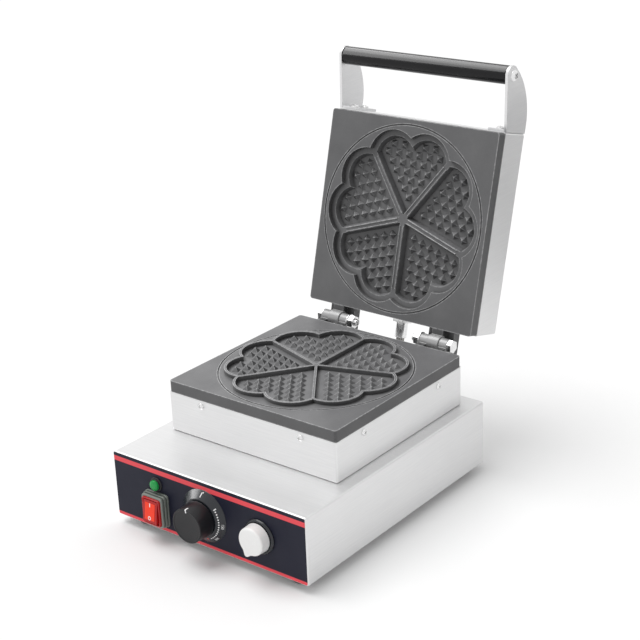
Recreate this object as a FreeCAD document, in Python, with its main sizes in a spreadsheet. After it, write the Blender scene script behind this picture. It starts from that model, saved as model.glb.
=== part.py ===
"""Counter-top waffle baker with a hinged lid and five-heart plates, modelled with the lid open.

Frame: +Z up, +X to the right of someone facing the control panel, the panel faces -Y. The origin lies on the
table, below the middle of the whole outline. The lid's pieces are drawn closed, in a frame on the hinge axis,
and are then turned about that axis by lid_open_angle.
"""
import FreeCAD, Part
import Sketcher
import math
import os
import re
from types import SimpleNamespace

# Driving dimensions, in millimetres and degrees
SIZES = {
    # base box
    "panel_y": -195.4,
    "base_width": 250,
    "base_depth": 308,
    "base_height": 72,
    "sheet_gauge": 1.2,
    "sheet_bend": 2.2,
    "return_flange": 36,
    "bottom_clearance": 0.3,
    "vent_length": 70,
    "vent_width": 4,
    "vent_pitch": 16,
    # feet
    "foot_height": 10,
    "foot_radius": 11,
    "foot_taper": 1.2,
    "foot_inset_x": 23,
    "foot_inset_y": 20,
    "foot_recess": 4,
    "foot_screw_head": 4.2,
    "foot_screw_radius": 2,
    "foot_screw_head_height": 2.4,
    # front panel overlay
    "overlay_thickness": 0.4,
    "overlay_margin": 1,
    # lower and upper housing
    "housing_rear_gap": 19.5,
    "housing_lip": 0.5,
    "lower_housing_height": 44,
    "upper_housing_height": 39.5,
    "lower_flange": 20,
    "wire_hole_radius": 30,
    "tie_bolt_inset": 11,
    "tie_bolt_radius": 2.5,
    "tie_bolt_head": 4.6,
    "tie_bolt_head_height": 3,
    "tie_bolt_end": 1.8,
    "tie_nut_circumradius": 4.6,
    "tie_nut_height": 4,
    # plates
    "plate_size": 217,
    "plate_thickness": 12.3,
    "plate_corner": 3,
    "parting_gap": 0.4,
    "boss_inset": 7.5,
    "boss_thickness": 19.5,
    "groove_inset": 5.9,
    "groove_width": 1.6,
    "groove_depth": 1,
    # waffle pattern
    "lobe_ring_inset": 42.5,
    "recess_lobe": 32,
    "recess_depth": 5,
    "recess_draft": 0.6,
    "pocket_lobe": 26,
    "pocket_draft": 2.5,
    "pocket_depth": 10.8,
    "upper_divider_top": 6,
    "upper_divider_base": 11,
    "rim_lobe": 30.6,
    "rim_width": 2.6,
    "rim_height": 4,
    "floor_sink": 0.8,
    "lower_divider_top": 2.6,
    "lower_divider_base": 3.8,
    "lower_divider_height": 3.7,
    "pyramid_width": 7.8,
    "pyramid_tip": 0.7,
    "pyramid_height": 4.4,
    "pyramid_pitch": 11.5,
    "pyramid_start": 24,
    # housing screws and the lugs they enter
    "lug_spacing": 65,
    "lug_width": 14,
    "lug_depth": 8,
    "lug_height": 13,
    "lug_gap": 0.2,
    "screw_drop": 6,
    "screw_radius": 2,
    "screw_hole_clearance": 0.15,
    "screw_head_radius": 3.6,
    "screw_head_height": 2.3,
    "screw_length": 8,
    "thread_runout": 1,
    "lid_post_inset": 22,
    "lid_post_radius": 6,
    # heaters and their clamps
    "heater_radius": 4,
    "heater_loop": 68,
    "heater_tail": 24,
    "heater_end_offset": 13.6,
    "heater_gap": 0.15,
    "clamp_outer": 84,
    "clamp_inner": 46,
    "clamp_thickness": 2,
    "clamp_screw_ring": 53,
    "clamp_screw_radius": 2.5,
    "clamp_screw_head": 4.6,
    "clamp_screw_head_height": 3.2,
    "clamp_screw_grip": 5,
    # hinge
    "hinge_x": 67,
    "hinge_reach": 15,
    "ear_width": 10,
    "ear_radius": 7,
    "tongue_width": 14,
    "tongue_radius": 8.5,
    "knuckle_gap": 0.4,
    "hood_width": 33,
    "hood_lift": 9,
    "hood_top": 20,
    "hood_overhang": 14,
    "hood_overlap": 1,
    "stop_gap": 0.4,
    "bolt_radius": 4,
    "bolt_clearance": 0.06,
    "bolt_head_circumradius": 7.5,
    "bolt_head_height": 5.5,
    "washer_radius": 8,
    "washer_thickness": 1.6,
    "nut_height": 6.5,
    "bolt_thread_end": 3.5,
    "lid_open_angle": 105,
    # handle
    "bracket_thickness": 3,
    "bracket_base_front": 13,
    "bracket_base_back": 51,
    "bracket_bulge_out": 46,
    "bracket_bulge_up": 39.5,
    "grip_out": 59,
    "grip_up": 9.5,
    "bracket_end_radius": 10.5,
    "bracket_foot": 20,
    "bracket_screw_low": 22,
    "bracket_screw_high": 42,
    "bracket_screw_radius": 2.5,
    "bracket_screw_head": 4.6,
    "bracket_screw_head_height": 2.8,
    "bracket_screw_length": 9,
    "grip_radius": 10,
    "grip_end_gap": 0.1,
    "rod_radius": 3,
    "rod_clearance": 0.1,
    "end_cap_radius": 6,
    "end_cap_height": 4.5,
    # controls: places on the panel
    "control_height": 45.5,
    "thermostat_x": -3,
    "timer_inset": 57,
    "switch_inset": 59,
    "switch_height": 35,
    "pilot_height": 61.5,
    # thermostat
    "dial_radius": 29,
    "dial_front_radius": 20.5,
    "dial_height": 6.5,
    "knob_gap": 0.5,
    "knob_radius": 19,
    "knob_front_radius": 18.3,
    "knob_front": 26,
    "knob_bore_depth": 13,
    "shaft_radius": 3,
    "shaft_clearance": 0.1,
    "shaft_hole_radius": 5,
    "thermostat_width": 46,
    "thermostat_height": 34,
    "thermostat_depth": 38,
    "shaft_tail": 8,
    # timer
    "timer_bezel_radius": 18.5,
    "timer_bezel_height": 3,
    "timer_knob_radius": 15.2,
    "timer_nose_reach": 16.8,
    "timer_nose_radius": 3,
    "timer_nose_angle": 201,
    "timer_knob_front": 15,
    "timer_bore_depth": 7,
    "timer_width": 44,
    "timer_height": 40,
    "timer_depth": 32,
    # rocker switch
    "frame_width": 24,
    "frame_height": 29.6,
    "frame_front": 11.5,
    "frame_window_width": 19.6,
    "frame_window_height": 26.6,
    "boot_flange_width": 30.5,
    "boot_flange_height": 36,
    "boot_flange_thickness": 2.4,
    "boot_step": 1.3,
    "boot_front": 9.4,
    "boot_clearance": 0.15,
    "switch_body_depth": 26,
    "rocker_width": 18.6,
    "rocker_height": 23.6,
    "rocker_front": 12.8,
    "rocker_depth": 11,
    "rocker_tilt": 8,
    "rocker_lens_inset": 2.6,
    "rocker_lens_thickness": 0.5,
    "pin_behind_front": 6.8,
    "pin_radius": 1.2,
    "pin_clearance": 0.08,
    # pilot lamp
    "pilot_bezel_radius": 7.6,
    "pilot_bezel_height": 1.6,
    "pilot_lens_radius": 6.4,
    "pilot_lens_height": 4.6,
    "pilot_lens_taper": 1,
    "pilot_body_radius": 4.9,
    "pilot_body_length": 24,
    "pilot_nut_circumradius": 8,
    "pilot_nut_height": 4,
    # thermostat bulb and its capillary
    "bulb_left": 56,
    "bulb_right": 18,
    "capillary_radius": 1,
    "capillary_run": 20,
    "capillary_lean": 4,
    "capillary_above": 14,
    "capillary_forward": 10,
    "capillary_below": 12,
    # terminal block
    "terminal_width": 60,
    "terminal_depth": 22,
    "terminal_height": 18,
    "terminal_from_rear": 60,
    # mains gland and sleeve glands, on the rear wall and on the lid
    "mains_inset": 53,
    "mains_height": 42,
    "mains_bore": 4.5,
    "gland_thread_radius": 8,
    "gland_hex": 12,
    "gland_hex_height": 7,
    "gland_dome_radius": 9.5,
    "gland_dome_height": 9,
    "gland_nut_height": 5,
    "gland_inside": 9,
    "sleeve_inset": 47,
    "sleeve_height": 54,
    "sleeve_radius": 4.6,
    "sleeve_clearance": 0.1,
    "sleeve_grip": 4,
    "lid_port_up": 32,
    "nipple_radius": 6.8,
    "nipple_length": 18,
    "sleeve_run": 28,
    "sleeve_swing": 54,
    "sleeve_swing_drop": 10,
    "sleeve_sag": 60,
    "sleeve_sag_drop": 12,
    "sleeve_return": 34,
    "sleeve_lid_run": 32,
}

HEARTS = 5
HEART_TURN = 360 / HEARTS
LOBES = 2 * HEARTS
LOBE_TURN = 360 / LOBES
CLAMP_ANGLES = (30, 150, 270)
VENTS = 7
LOOP_CORNERS = 8
# Shares: of a run that a bend takes, of a pyramid that stays clear of the pocket's side, of the way across
BEND_SHARE = 0.45
PYRAMID_CLEARANCE = 0.6
SLEEVE_SWING_SHARE = 0.23
SLEEVE_SAG_SHARE = 0.67

doc = FreeCAD.newDocument("WaffleBaker")
sheet = doc.addObject("Spreadsheet::Sheet", "Sizes")
for row, (alias, amount) in enumerate(SIZES.items(), start=1):
    sheet.set(f"A{row}", alias)
    sheet.set(f"B{row}", str(amount))
    sheet.setAlias(f"B{row}", alias)
doc.recompute()
size = SimpleNamespace(**{alias: float(sheet.get(alias)) for alias in SIZES})

Vector = FreeCAD.Vector
X_AXIS = Vector(1, 0, 0)
Y_AXIS = Vector(0, 1, 0)
Z_AXIS = Vector(0, 0, 1)
ALONG = {
    "z": FreeCAD.Rotation(),
    "-z": FreeCAD.Rotation(X_AXIS, 180),
    "x": FreeCAD.Rotation(Y_AXIS, 90),
    "-x": FreeCAD.Rotation(Y_AXIS, -90),
    "y": FreeCAD.Rotation(X_AXIS, -90),
    "-y": FreeCAD.Rotation(X_AXIS, 90),
}

# Places worked out from the driving dimensions, in the part's frame
BASE_TOP = "(foot_height + base_height)"
REAR_WALL = "(panel_y + base_depth)"
HOUSING_SIZE = "(plate_size + 2 * housing_lip)"
PLATE_UNDERSIDE = "(foot_height + base_height + lower_housing_height)"
PLATE_REAR = "(panel_y + base_depth - housing_rear_gap - housing_lip)"
PLATE_CENTRE = f"({PLATE_REAR} - plate_size / 2)"
HINGE_Y = f"({PLATE_REAR} + hinge_reach)"
HINGE_Z = f"({PLATE_UNDERSIDE} + plate_thickness + parting_gap / 2)"
PANEL_FRONT = "(panel_y - overlay_thickness)"
SWITCH_X = "(-base_width / 2 + switch_inset)"
TIMER_X = "(base_width / 2 - timer_inset)"
MAINS_X = "(base_width / 2 - mains_inset)"
SLEEVE_X = "(-base_width / 2 + sleeve_inset)"
BOSS_RADIUS = "(plate_size / 2 - boss_inset)"
GROOVE_RADIUS = "(plate_size / 2 - groove_inset)"
LOBE_RING = "(plate_size / 2 - lobe_ring_inset)"
HALF_HOUSING = "(plate_size / 2 + housing_lip)"
# The same in the hinge frame, with the lid closed
MIDDLE = "(-hinge_reach - plate_size / 2)"
LID_BACK = "(parting_gap / 2 + plate_thickness)"
LID_TOP = f"({LID_BACK} + upper_housing_height)"
LID_FRONT = "(-hinge_reach - plate_size - housing_lip)"
LID_REAR = "(-hinge_reach + housing_lip)"
LID_PORT = "(parting_gap / 2 + lid_port_up)"
BOSS_BACK = "(parting_gap / 2 + boss_thickness)"
# Holes that run out of both faces of a sheet, and the size that a screw's hole adds to it
THROUGH = "(4 * sheet_gauge)"
BEFORE_SHEET = "2 * sheet_gauge"
SCREW_HOLE = "(screw_radius + screw_hole_clearance)"
GLAND_HOLE = "(gland_thread_radius + screw_hole_clearance)"
PILOT_HOLE = "(pilot_body_radius + screw_hole_clearance)"
BOLT_HOLE = "(bolt_radius + bolt_clearance)"
ROD_HOLE = "(rod_radius + rod_clearance)"
SHAFT_BORE = "(shaft_radius + shaft_clearance / 2)"

nodes = []


def formula(text):
    """The text with every named size read from the sheet."""
    return re.sub(r"[a-z_]+", lambda word: f"Sizes.{word[0]}" if word[0] in SIZES else word[0], str(text))


def amount(text):
    """The number that a formula of sizes comes to."""
    return float(sheet.evalExpression(formula(text)))


def bind(item, **sizes):
    for prop, text in sizes.items():
        item.setExpression(prop, formula(text))
    return item


def place(item, at, along="z"):
    item.Placement = FreeCAD.Placement(Vector(), ALONG[along])
    for axis, text in zip("xyz", at):
        item.setExpression(f"Placement.Base.{axis}", formula(text))
    return item


def box(name, lengths, corner):
    item = doc.addObject("Part::Box", name)
    bind(item, Length=lengths[0], Width=lengths[1], Height=lengths[2])
    return place(item, corner)


def cylinder(name, radius, length, start, along="z"):
    item = doc.addObject("Part::Cylinder", name)
    bind(item, Radius=radius, Height=length)
    return place(item, start, along)


def cone(name, radius, end_radius, length, start, along="z"):
    item = doc.addObject("Part::Cone", name)
    bind(item, Radius1=radius, Radius2=end_radius, Height=length)
    return place(item, start, along)


def hexagon(name, circumradius, length, start, along="z"):
    item = doc.addObject("Part::Prism", name)
    item.Polygon = 6
    bind(item, Circumradius=circumradius, Height=length)
    return place(item, start, along)


def fuse(name, *items):
    item = doc.addObject("Part::MultiFuse", name)
    item.Shapes = list(items)
    item.Refine = True
    return item


def cut(name, base, *tools):
    item = doc.addObject("Part::Cut", name)
    item.Base = base
    item.Tool = tools[0] if len(tools) == 1 else fuse(f"{name}_cuts", *tools)
    item.Refine = True
    return item


def common(name, first, second):
    item = doc.addObject("Part::Common", name)
    item.Base = first
    item.Tool = second
    item.Refine = True
    return item


def group(name, *items):
    item = doc.addObject("Part::Compound", name)
    item.Links = list(items)
    return item


def feature(name, shape):
    item = doc.addObject("Part::Feature", name)
    item.Shape = shape
    return item


def round_edges(name, base, radius, wanted):
    """Rounds the edges of base that the test picks."""
    doc.recompute()
    item = doc.addObject("Part::Fillet", name)
    item.Base = base
    chosen = [number for number, edge in enumerate(base.Shape.Edges, start=1) if wanted(edge)]
    item.Edges = [(number, radius, radius) for number in chosen]
    return item


def is_upright(edge):
    first, last = (vertex.Point for vertex in edge.Vertexes)
    return abs(first.x - last.x) + abs(first.y - last.y) < 1e-6


def node(label, item):
    """Names a finished piece and adds it to what is written."""
    item.Label = label
    nodes.append(item)
    return item


def at_hinge(item):
    """Moves a piece drawn in the hinge frame to the hinge axis."""
    return place(item, ("0", HINGE_Y, HINGE_Z))


def on_lid(item):
    """Moves a piece of the lid to the hinge axis and opens it."""
    at_hinge(item)
    item.Placement = FreeCAD.Placement(item.Placement.Base, FreeCAD.Rotation(-X_AXIS, size.lid_open_angle))
    item.setExpression("Placement.Rotation.Angle", formula("lid_open_angle"))
    return item


def screw(name, head, head_height, radius, length, at, along):
    """A pan-head screw whose head rests at the given point and whose shank points along."""
    top = cylinder(f"{name}_head", head, head_height, ("0", "0", f"-({head_height})"))
    shank = cylinder(f"{name}_shank", radius, length, ("0", "0", "0"))
    return place(fuse(name, top, shank), at, along)


def tray(name, width, depth, height, open_top):
    """A folded sheet-steel tray with rounded bends, centred on its own origin and open on one side."""
    body = doc.addObject("PartDesign::Body", name)
    plane = next(item for item in body.Origin.OriginFeatures if item.Role == "XY_Plane")
    outline = body.newObject("Sketcher::SketchObject", f"{name}_outline")
    outline.AttachmentSupport = [(plane, "")]
    outline.MapMode = "FlatFace"
    corners = [Vector(-1, -1), Vector(1, -1), Vector(1, 1), Vector(-1, 1)]
    for number in range(4):
        outline.addGeometry(Part.LineSegment(corners[number], corners[(number + 1) % 4]))
    for number in range(4):
        outline.addConstraint(Sketcher.Constraint("Coincident", number, 2, (number + 1) % 4, 1))
        direction = "Horizontal" if number % 2 == 0 else "Vertical"
        outline.addConstraint(Sketcher.Constraint(direction, number))
    outline.addConstraint(Sketcher.Constraint("Symmetric", 0, 1, 2, 1, -1, 1))
    for label, line, text in (("width", 0, width), ("depth", 1, depth)):
        index = outline.addConstraint(Sketcher.Constraint("Distance", line, 2))
        outline.renameConstraint(index, label)
        outline.setExpression(f"Constraints.{label}", formula(text))
    pad = body.newObject("PartDesign::Pad", f"{name}_pad")
    pad.Profile = outline
    bind(pad, Length=height)
    doc.recompute()
    open_level = pad.Shape.BoundBox.ZMax if open_top else pad.Shape.BoundBox.ZMin
    bends = body.newObject("PartDesign::Fillet", f"{name}_bends")
    folded = [
        f"Edge{number}"
        for number, edge in enumerate(pad.Shape.Edges, start=1)
        if is_upright(edge) or abs(edge.CenterOfMass.z - open_level) > 1
    ]
    bends.Base = (pad, folded)
    bind(bends, Radius="sheet_bend")
    doc.recompute()
    faces = enumerate(bends.Shape.Faces, start=1)
    opening = next(number for number, face in faces if abs(face.CenterOfMass.z - open_level) < 1e-4)
    walls = body.newObject("PartDesign::Thickness", f"{name}_walls")
    walls.Base = (bends, [f"Face{opening}"])
    walls.Reversed = True
    bind(walls, Value="sheet_gauge")
    doc.recompute()
    return body


def rounded_route(points):
    """Straight runs joined by tangent arcs, each as large as its two runs allow."""
    edges = []
    start = points[0]
    radii = []
    for before, corner, after in zip(points, points[1:], points[2:]):
        back = before - corner
        ahead = after - corner
        reach = BEND_SHARE * min(back.Length, ahead.Length)
        half = back.getAngle(ahead) / 2
        back.normalize()
        ahead.normalize()
        first = corner + back * reach
        last = corner + ahead * reach
        middle_line = back + ahead
        middle_line.normalize()
        radius = reach * math.tan(half)
        middle = corner + middle_line * (reach / math.cos(half) - radius)
        edges.append(Part.LineSegment(start, first).toShape())
        edges.append(Part.Arc(first, middle, last).toShape())
        radii.append(round(radius, 1))
        start = last
    edges.append(Part.LineSegment(start, points[-1]).toShape())
    return Part.Wire(edges), radii


def tube(name, points, radius):
    """A round solid along a route; its volume is compared with section times length."""
    path, radii = rounded_route(points)
    ring = Part.makeCircle(radius, points[0], points[1] - points[0])
    shape = path.makePipeShell([Part.Wire(ring)], True, True)
    expected = math.pi * radius**2 * path.Length
    print(f"{name}: length {path.Length:.1f}, bend radii {radii}, volume ratio {shape.Volume / expected:.4f}")
    return feature(name, shape)


def flower(name, lobe, height, level, end_lobe=None):
    """The ten-lobed outline of the waffle, pulled up from a level; end_lobe gives it sloping sides."""
    lobes = [cylinder(f"{name}_middle", LOBE_RING, height, ("0", MIDDLE, level))]
    for number in range(LOBES):
        angle = LOBE_TURN * number
        at = (f"{LOBE_RING} * cos({angle})", f"{MIDDLE} + {LOBE_RING} * sin({angle})", level)
        lobes.append(cone(f"{name}_lobe{number}", lobe, end_lobe, height, at) if end_lobe else
                     cylinder(f"{name}_lobe{number}", lobe, height, at))
    return fuse(name, *lobes)


def dividers(name, base_width, top_width, height, level, upward=True):
    """Five tapered ridges from the waffle's middle towards its rim, one of them towards the hinge."""
    ridges = []
    for number in range(HEARTS):
        angle = 90 + HEART_TURN * number
        ridge = doc.addObject("Part::Wedge", f"{name}{number}")
        low, high = (base_width, top_width) if upward else (top_width, base_width)
        bind(ridge, Xmin=f"-({low}) / 2", Xmax=f"({low}) / 2", X2min=f"-({high}) / 2", X2max=f"({high}) / 2")
        bind(ridge, Ymin="0", Ymax=height, Zmin="0", Zmax=f"{LOBE_RING} + recess_lobe")
        bind(ridge, Z2min="0", Z2max=f"{LOBE_RING} + recess_lobe")
        place(ridge, ("0", MIDDLE, level))
        turn = FreeCAD.Rotation(Z_AXIS, angle + 90) * FreeCAD.Rotation(X_AXIS, 90)
        ridge.Placement = FreeCAD.Placement(ridge.Placement.Base, turn)
        ridges.append(ridge)
    return fuse(name, *ridges)


def pyramid_places():
    """Middles and headings of the pyramids, in rows that widen from the tip of each heart to its lobes."""
    half_row = size.pyramid_pitch * math.sin(math.radians(HEART_TURN / 2))
    row_step = size.pyramid_pitch * math.cos(math.radians(HEART_TURN / 2))
    room = size.pocket_lobe - size.pocket_draft - PYRAMID_CLEARANCE * size.pyramid_width
    lobe_ring = amount(LOBE_RING)
    lobe_x = lobe_ring * math.sin(math.radians(LOBE_TURN / 2))
    lobe_y = lobe_ring * math.cos(math.radians(LOBE_TURN / 2))
    rows = int(2 * lobe_ring / row_step)
    kept = []
    for row in range(rows):
        for column in range(row + 1):
            across = (2 * column - row) * half_row
            out = size.pyramid_start + row * row_step
            in_lobe = math.hypot(abs(across) - lobe_x, out - lobe_y) <= room
            if in_lobe or math.hypot(across, out) < lobe_ring:
                kept.append((across, out))
    for heart in range(HEARTS):
        for across, out in kept:
            yield across, out, HEART_TURN * heart


def pyramids(name, root):
    """All pyramids of one plate, tips up on z = 0, with roots below; the first heart points to -Y."""
    half = size.pyramid_width / 2
    tip = size.pyramid_tip / 2
    slope = (half - tip) / size.pyramid_height
    foot = half + slope * root
    shapes = []
    for across, out, turn in pyramid_places():
        shape = Part.makeWedge(-foot, -root, -foot, -tip, -tip, foot, size.pyramid_height, foot, tip, tip)
        shape.rotate(Vector(), X_AXIS, 90)
        shape.translate(Vector(across, -out, 0))
        shape.rotate(Vector(), Z_AXIS, turn)
        shapes.append(shape)
    return feature(name, Part.makeCompound(shapes))


def groove(name, level, height):
    """The thin round groove outside the waffle."""
    at = ("0", MIDDLE, level)
    outer = cylinder(f"{name}_outer", f"{GROOVE_RADIUS} + groove_width / 2", height, at)
    inner = cylinder(f"{name}_inner", f"{GROOVE_RADIUS} - groove_width / 2", height, at)
    return cut(name, outer, inner)


def slab(name, level):
    """The square flange of a plate, with rounded corners."""
    lengths = ("plate_size", "plate_size", "plate_thickness")
    block = box(f"{name}_block", lengths, ("-plate_size / 2", "-hinge_reach - plate_size", level))
    return round_edges(name, block, size.plate_corner, is_upright)


def signs():
    return [(across, along) for across in (-1, 1) for along in (-1, 1)]


def make_base():
    """Base box, bottom plate, front overlay and feet."""
    shell = place(tray("base_shell", "base_width", "base_depth", "base_height", False),
                  ("0", "panel_y + base_depth / 2", "foot_height"))
    inside = ("base_width - sheet_gauge", "base_depth - sheet_gauge", "sheet_gauge")
    ring = cut(
        "base_return",
        box("base_return_outer", inside,
            ("-base_width / 2 + sheet_gauge / 2", "panel_y + sheet_gauge / 2", "foot_height + sheet_gauge")),
        box("base_return_inner",
            ("base_width - 2 * return_flange", "base_depth - 2 * return_flange", "sheet_gauge"),
            ("-base_width / 2 + return_flange", "panel_y + return_flange", "foot_height + sheet_gauge")),
    )
    corners = [
        (f"{across} * (base_width / 2 - foot_inset_x)",
         f"panel_y + base_depth / 2 + {along} * (base_depth / 2 - foot_inset_y)")
        for across, along in signs()
    ]
    hole = "foot_screw_radius + screw_hole_clearance"
    holes = [
        cylinder(f"base_foot_hole{n}", hole, THROUGH, (*at, "foot_height - sheet_gauge"))
        for n, at in enumerate(corners)
    ]
    ties = [
        cylinder(f"base_tie_hole{n}", "tie_bolt_radius + screw_hole_clearance", THROUGH,
                 (*at, f"{BASE_TOP} - {BEFORE_SHEET}"))
        for n, at in enumerate(tie_places())
    ]
    wires = cylinder("base_wire_hole", "wire_hole_radius", THROUGH,
                     ("0", PLATE_CENTRE, f"{BASE_TOP} - {BEFORE_SHEET}"))
    rear_holes = [
        cylinder(f"base_{name}_hole", GLAND_HOLE, THROUGH,
                 (at_x, f"{REAR_WALL} - {BEFORE_SHEET}", height), "y")
        for name, at_x, height in (("mains", MAINS_X, "mains_height"), ("sleeve", SLEEVE_X, "sleeve_height"))
    ]
    whole = fuse("base_folded", shell, ring)
    node("base_housing", cut("base_housing", whole, *panel_holes("base"), *holes, *ties, wires, *rear_holes))

    film = box(
        "overlay_film",
        ("base_width - 2 * overlay_margin", "overlay_thickness",
         "base_height - overlay_margin - sheet_gauge"),
        ("-base_width / 2 + overlay_margin", PANEL_FRONT, "foot_height + sheet_gauge"),
    )
    node("panel_overlay", cut("panel_overlay", film, *panel_holes("overlay")))

    margin = "(sheet_gauge + bottom_clearance)"
    sheet_metal = box(
        "bottom_sheet",
        (f"base_width - 2 * {margin}", f"base_depth - 2 * {margin}", "sheet_gauge"),
        (f"-base_width / 2 + {margin}", f"panel_y + {margin}", "foot_height"),
    )
    vents = [
        box(f"bottom_vent{n}", ("vent_length", "vent_width", "3 * sheet_gauge"),
            ("-vent_length / 2", f"panel_y + base_depth / 2 - vent_width / 2 + {n - VENTS // 2} * vent_pitch",
             "foot_height - sheet_gauge"))
        for n in range(VENTS)
    ]
    plate_holes = [
        cylinder(f"bottom_foot_hole{n}", hole, THROUGH, (*at, "foot_height - sheet_gauge"))
        for n, at in enumerate(corners)
    ]
    node("bottom_plate", cut("bottom_plate", sheet_metal, *vents, *plate_holes))

    screws = []
    for (across, along), at in zip(signs(), corners):
        name = f"foot_{'front' if along < 0 else 'rear'}_{'left' if across < 0 else 'right'}"
        on_table = (*at, "0")
        rubber = cone(f"{name}_rubber", "foot_radius - foot_taper", "foot_radius", "foot_height", on_table)
        head_room = "foot_screw_head + 2 * screw_hole_clearance"
        recess = cylinder(f"{name}_recess", head_room, "foot_recess", on_table)
        bore = cylinder(f"{name}_bore", hole, "foot_height", on_table)
        node(name, cut(name, rubber, recess, bore))
        screws.append(screw(f"{name}_screw", "foot_screw_head", "foot_screw_head_height", "foot_screw_radius",
                            "foot_height - foot_recess + 5 * sheet_gauge", (*at, "foot_recess"), "z"))
    node("foot_screws", group("foot_screws", *screws))


def tie_places():
    """Where bolts hold the lower housing down on the base."""
    reach = f"({HALF_HOUSING} - tie_bolt_inset)"
    return [(f"{across} * {reach}", f"{PLATE_CENTRE} + {along} * {reach}") for across, along in signs()]


def panel_holes(owner):
    """The holes for the controls, through the front wall and its overlay."""
    deep = "6 * sheet_gauge"
    start = "panel_y - 3 * sheet_gauge"
    window = ("frame_width + 2 * boot_clearance", deep, "frame_height + 2 * boot_clearance")
    corner = (f"{SWITCH_X} - frame_width / 2 - boot_clearance", start,
              "switch_height - frame_height / 2 - boot_clearance")
    thermostat = ("thermostat_x", start, "control_height")
    return [
        cylinder(f"{owner}_thermostat_hole", "shaft_hole_radius", deep, thermostat, "y"),
        cylinder(f"{owner}_timer_hole", "shaft_hole_radius", deep, (TIMER_X, start, "control_height"), "y"),
        cylinder(f"{owner}_pilot_hole", PILOT_HOLE, deep,
                 (SWITCH_X, start, "pilot_height"), "y"),
        box(f"{owner}_switch_hole", window, corner),
    ]


def make_thermostat():
    """Knob on its shaft, the conical dial behind it, and the capillary thermostat inside."""
    at = ("thermostat_x", PANEL_FRONT, "control_height")
    cone_ring = cone("dial_cone", "dial_radius", "dial_front_radius", "dial_height", at, "-y")
    dial_bore = cylinder("dial_bore", "shaft_hole_radius", "dial_height", at, "-y")
    node("thermostat_dial", cut("thermostat_dial", cone_ring, dial_bore))
    back = f"({PANEL_FRONT} - dial_height - knob_gap)"
    length = "(knob_front - dial_height - knob_gap)"
    behind = ("thermostat_x", back, "control_height")
    barrel = cone("knob_barrel", "knob_radius", "knob_front_radius", length, behind, "-y")
    bore = cylinder("knob_bore", SHAFT_BORE, "knob_bore_depth", behind, "-y")
    node("thermostat_knob", cut("thermostat_knob", barrel, bore))
    shaft_start = f"{back} - knob_bore_depth + shaft_clearance"
    node("thermostat_shaft", cylinder(
        "thermostat_shaft", "shaft_radius",
        "knob_bore_depth - shaft_clearance + knob_gap + dial_height + overlay_thickness + sheet_gauge"
        " + shaft_tail",
        ("thermostat_x", shaft_start, "control_height"), "y"))
    control_case("thermostat", "thermostat_x", "thermostat_width", "thermostat_height", "thermostat_depth")


def control_case(name, at_x, width, height, depth):
    """A closed control behind the front wall, bored for its shaft."""
    case = box(f"{name}_case", (width, depth, height),
               (f"{at_x} - {width} / 2", "panel_y + sheet_gauge", f"control_height - {height} / 2"))
    bore = cylinder(f"{name}_case_bore", "shaft_radius + shaft_clearance", "shaft_tail + shaft_clearance",
                    (at_x, "panel_y + sheet_gauge", "control_height"), "y")
    node(f"{name}_body", cut(f"{name}_body", case, bore))


def make_timer():
    """White teardrop knob on its shaft, the bezel behind it, and the wound timer inside."""
    at = (TIMER_X, PANEL_FRONT, "control_height")
    disc = cylinder("bezel_disc", "timer_bezel_radius", "timer_bezel_height", at, "-y")
    bore = cylinder("bezel_bore", "shaft_hole_radius", "timer_bezel_height", at, "-y")
    node("timer_bezel", cut("timer_bezel", disc, bore))
    back = f"({PANEL_FRONT} - timer_bezel_height - knob_gap)"
    middle = (TIMER_X, back, "control_height")
    length = "(timer_knob_front - timer_bezel_height - knob_gap)"
    nose_x = f"{TIMER_X} + timer_nose_reach * sin(timer_nose_angle)"
    nose_z = "control_height + timer_nose_reach * cos(timer_nose_angle)"
    round_part = cylinder("timer_round", "timer_knob_radius", length, middle, "-y")
    nose = cylinder("timer_nose", "timer_nose_radius", length, (nose_x, back, nose_z), "-y")
    cheeks = doc.addObject("Part::Wedge", "timer_cheeks")
    lean = "((timer_knob_radius - timer_nose_radius) / timer_nose_reach)"
    side = f"sqrt(1 - {lean} * {lean})"
    bind(cheeks, Xmin=f"-timer_knob_radius * {side}", Xmax=f"timer_knob_radius * {side}")
    bind(cheeks, X2min=f"-timer_nose_radius * {side}", X2max=f"timer_nose_radius * {side}")
    bind(cheeks, Zmin="0", Z2min="0", Zmax=length, Z2max=length)
    bind(cheeks, Ymin=f"timer_knob_radius * {lean}", Ymax=f"timer_nose_reach + timer_nose_radius * {lean}")
    place(cheeks, middle)
    turn = FreeCAD.Rotation(Y_AXIS, size.timer_nose_angle) * ALONG["-y"]
    cheeks.Placement = FreeCAD.Placement(cheeks.Placement.Base, turn)
    teardrop = fuse("timer_teardrop", round_part, nose, cheeks)
    knob_bore = cylinder("timer_knob_bore", SHAFT_BORE, "timer_bore_depth", middle,
                         "-y")
    node("timer_knob", cut("timer_knob", teardrop, knob_bore))
    node("timer_shaft", cylinder(
        "timer_shaft", "shaft_radius",
        "timer_bore_depth - shaft_clearance + knob_gap + timer_bezel_height + overlay_thickness + sheet_gauge"
        " + shaft_tail",
        (TIMER_X, f"{back} - timer_bore_depth + shaft_clearance", "control_height"), "y"))
    control_case("timer", TIMER_X, "timer_width", "timer_height", "timer_depth")


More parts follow.
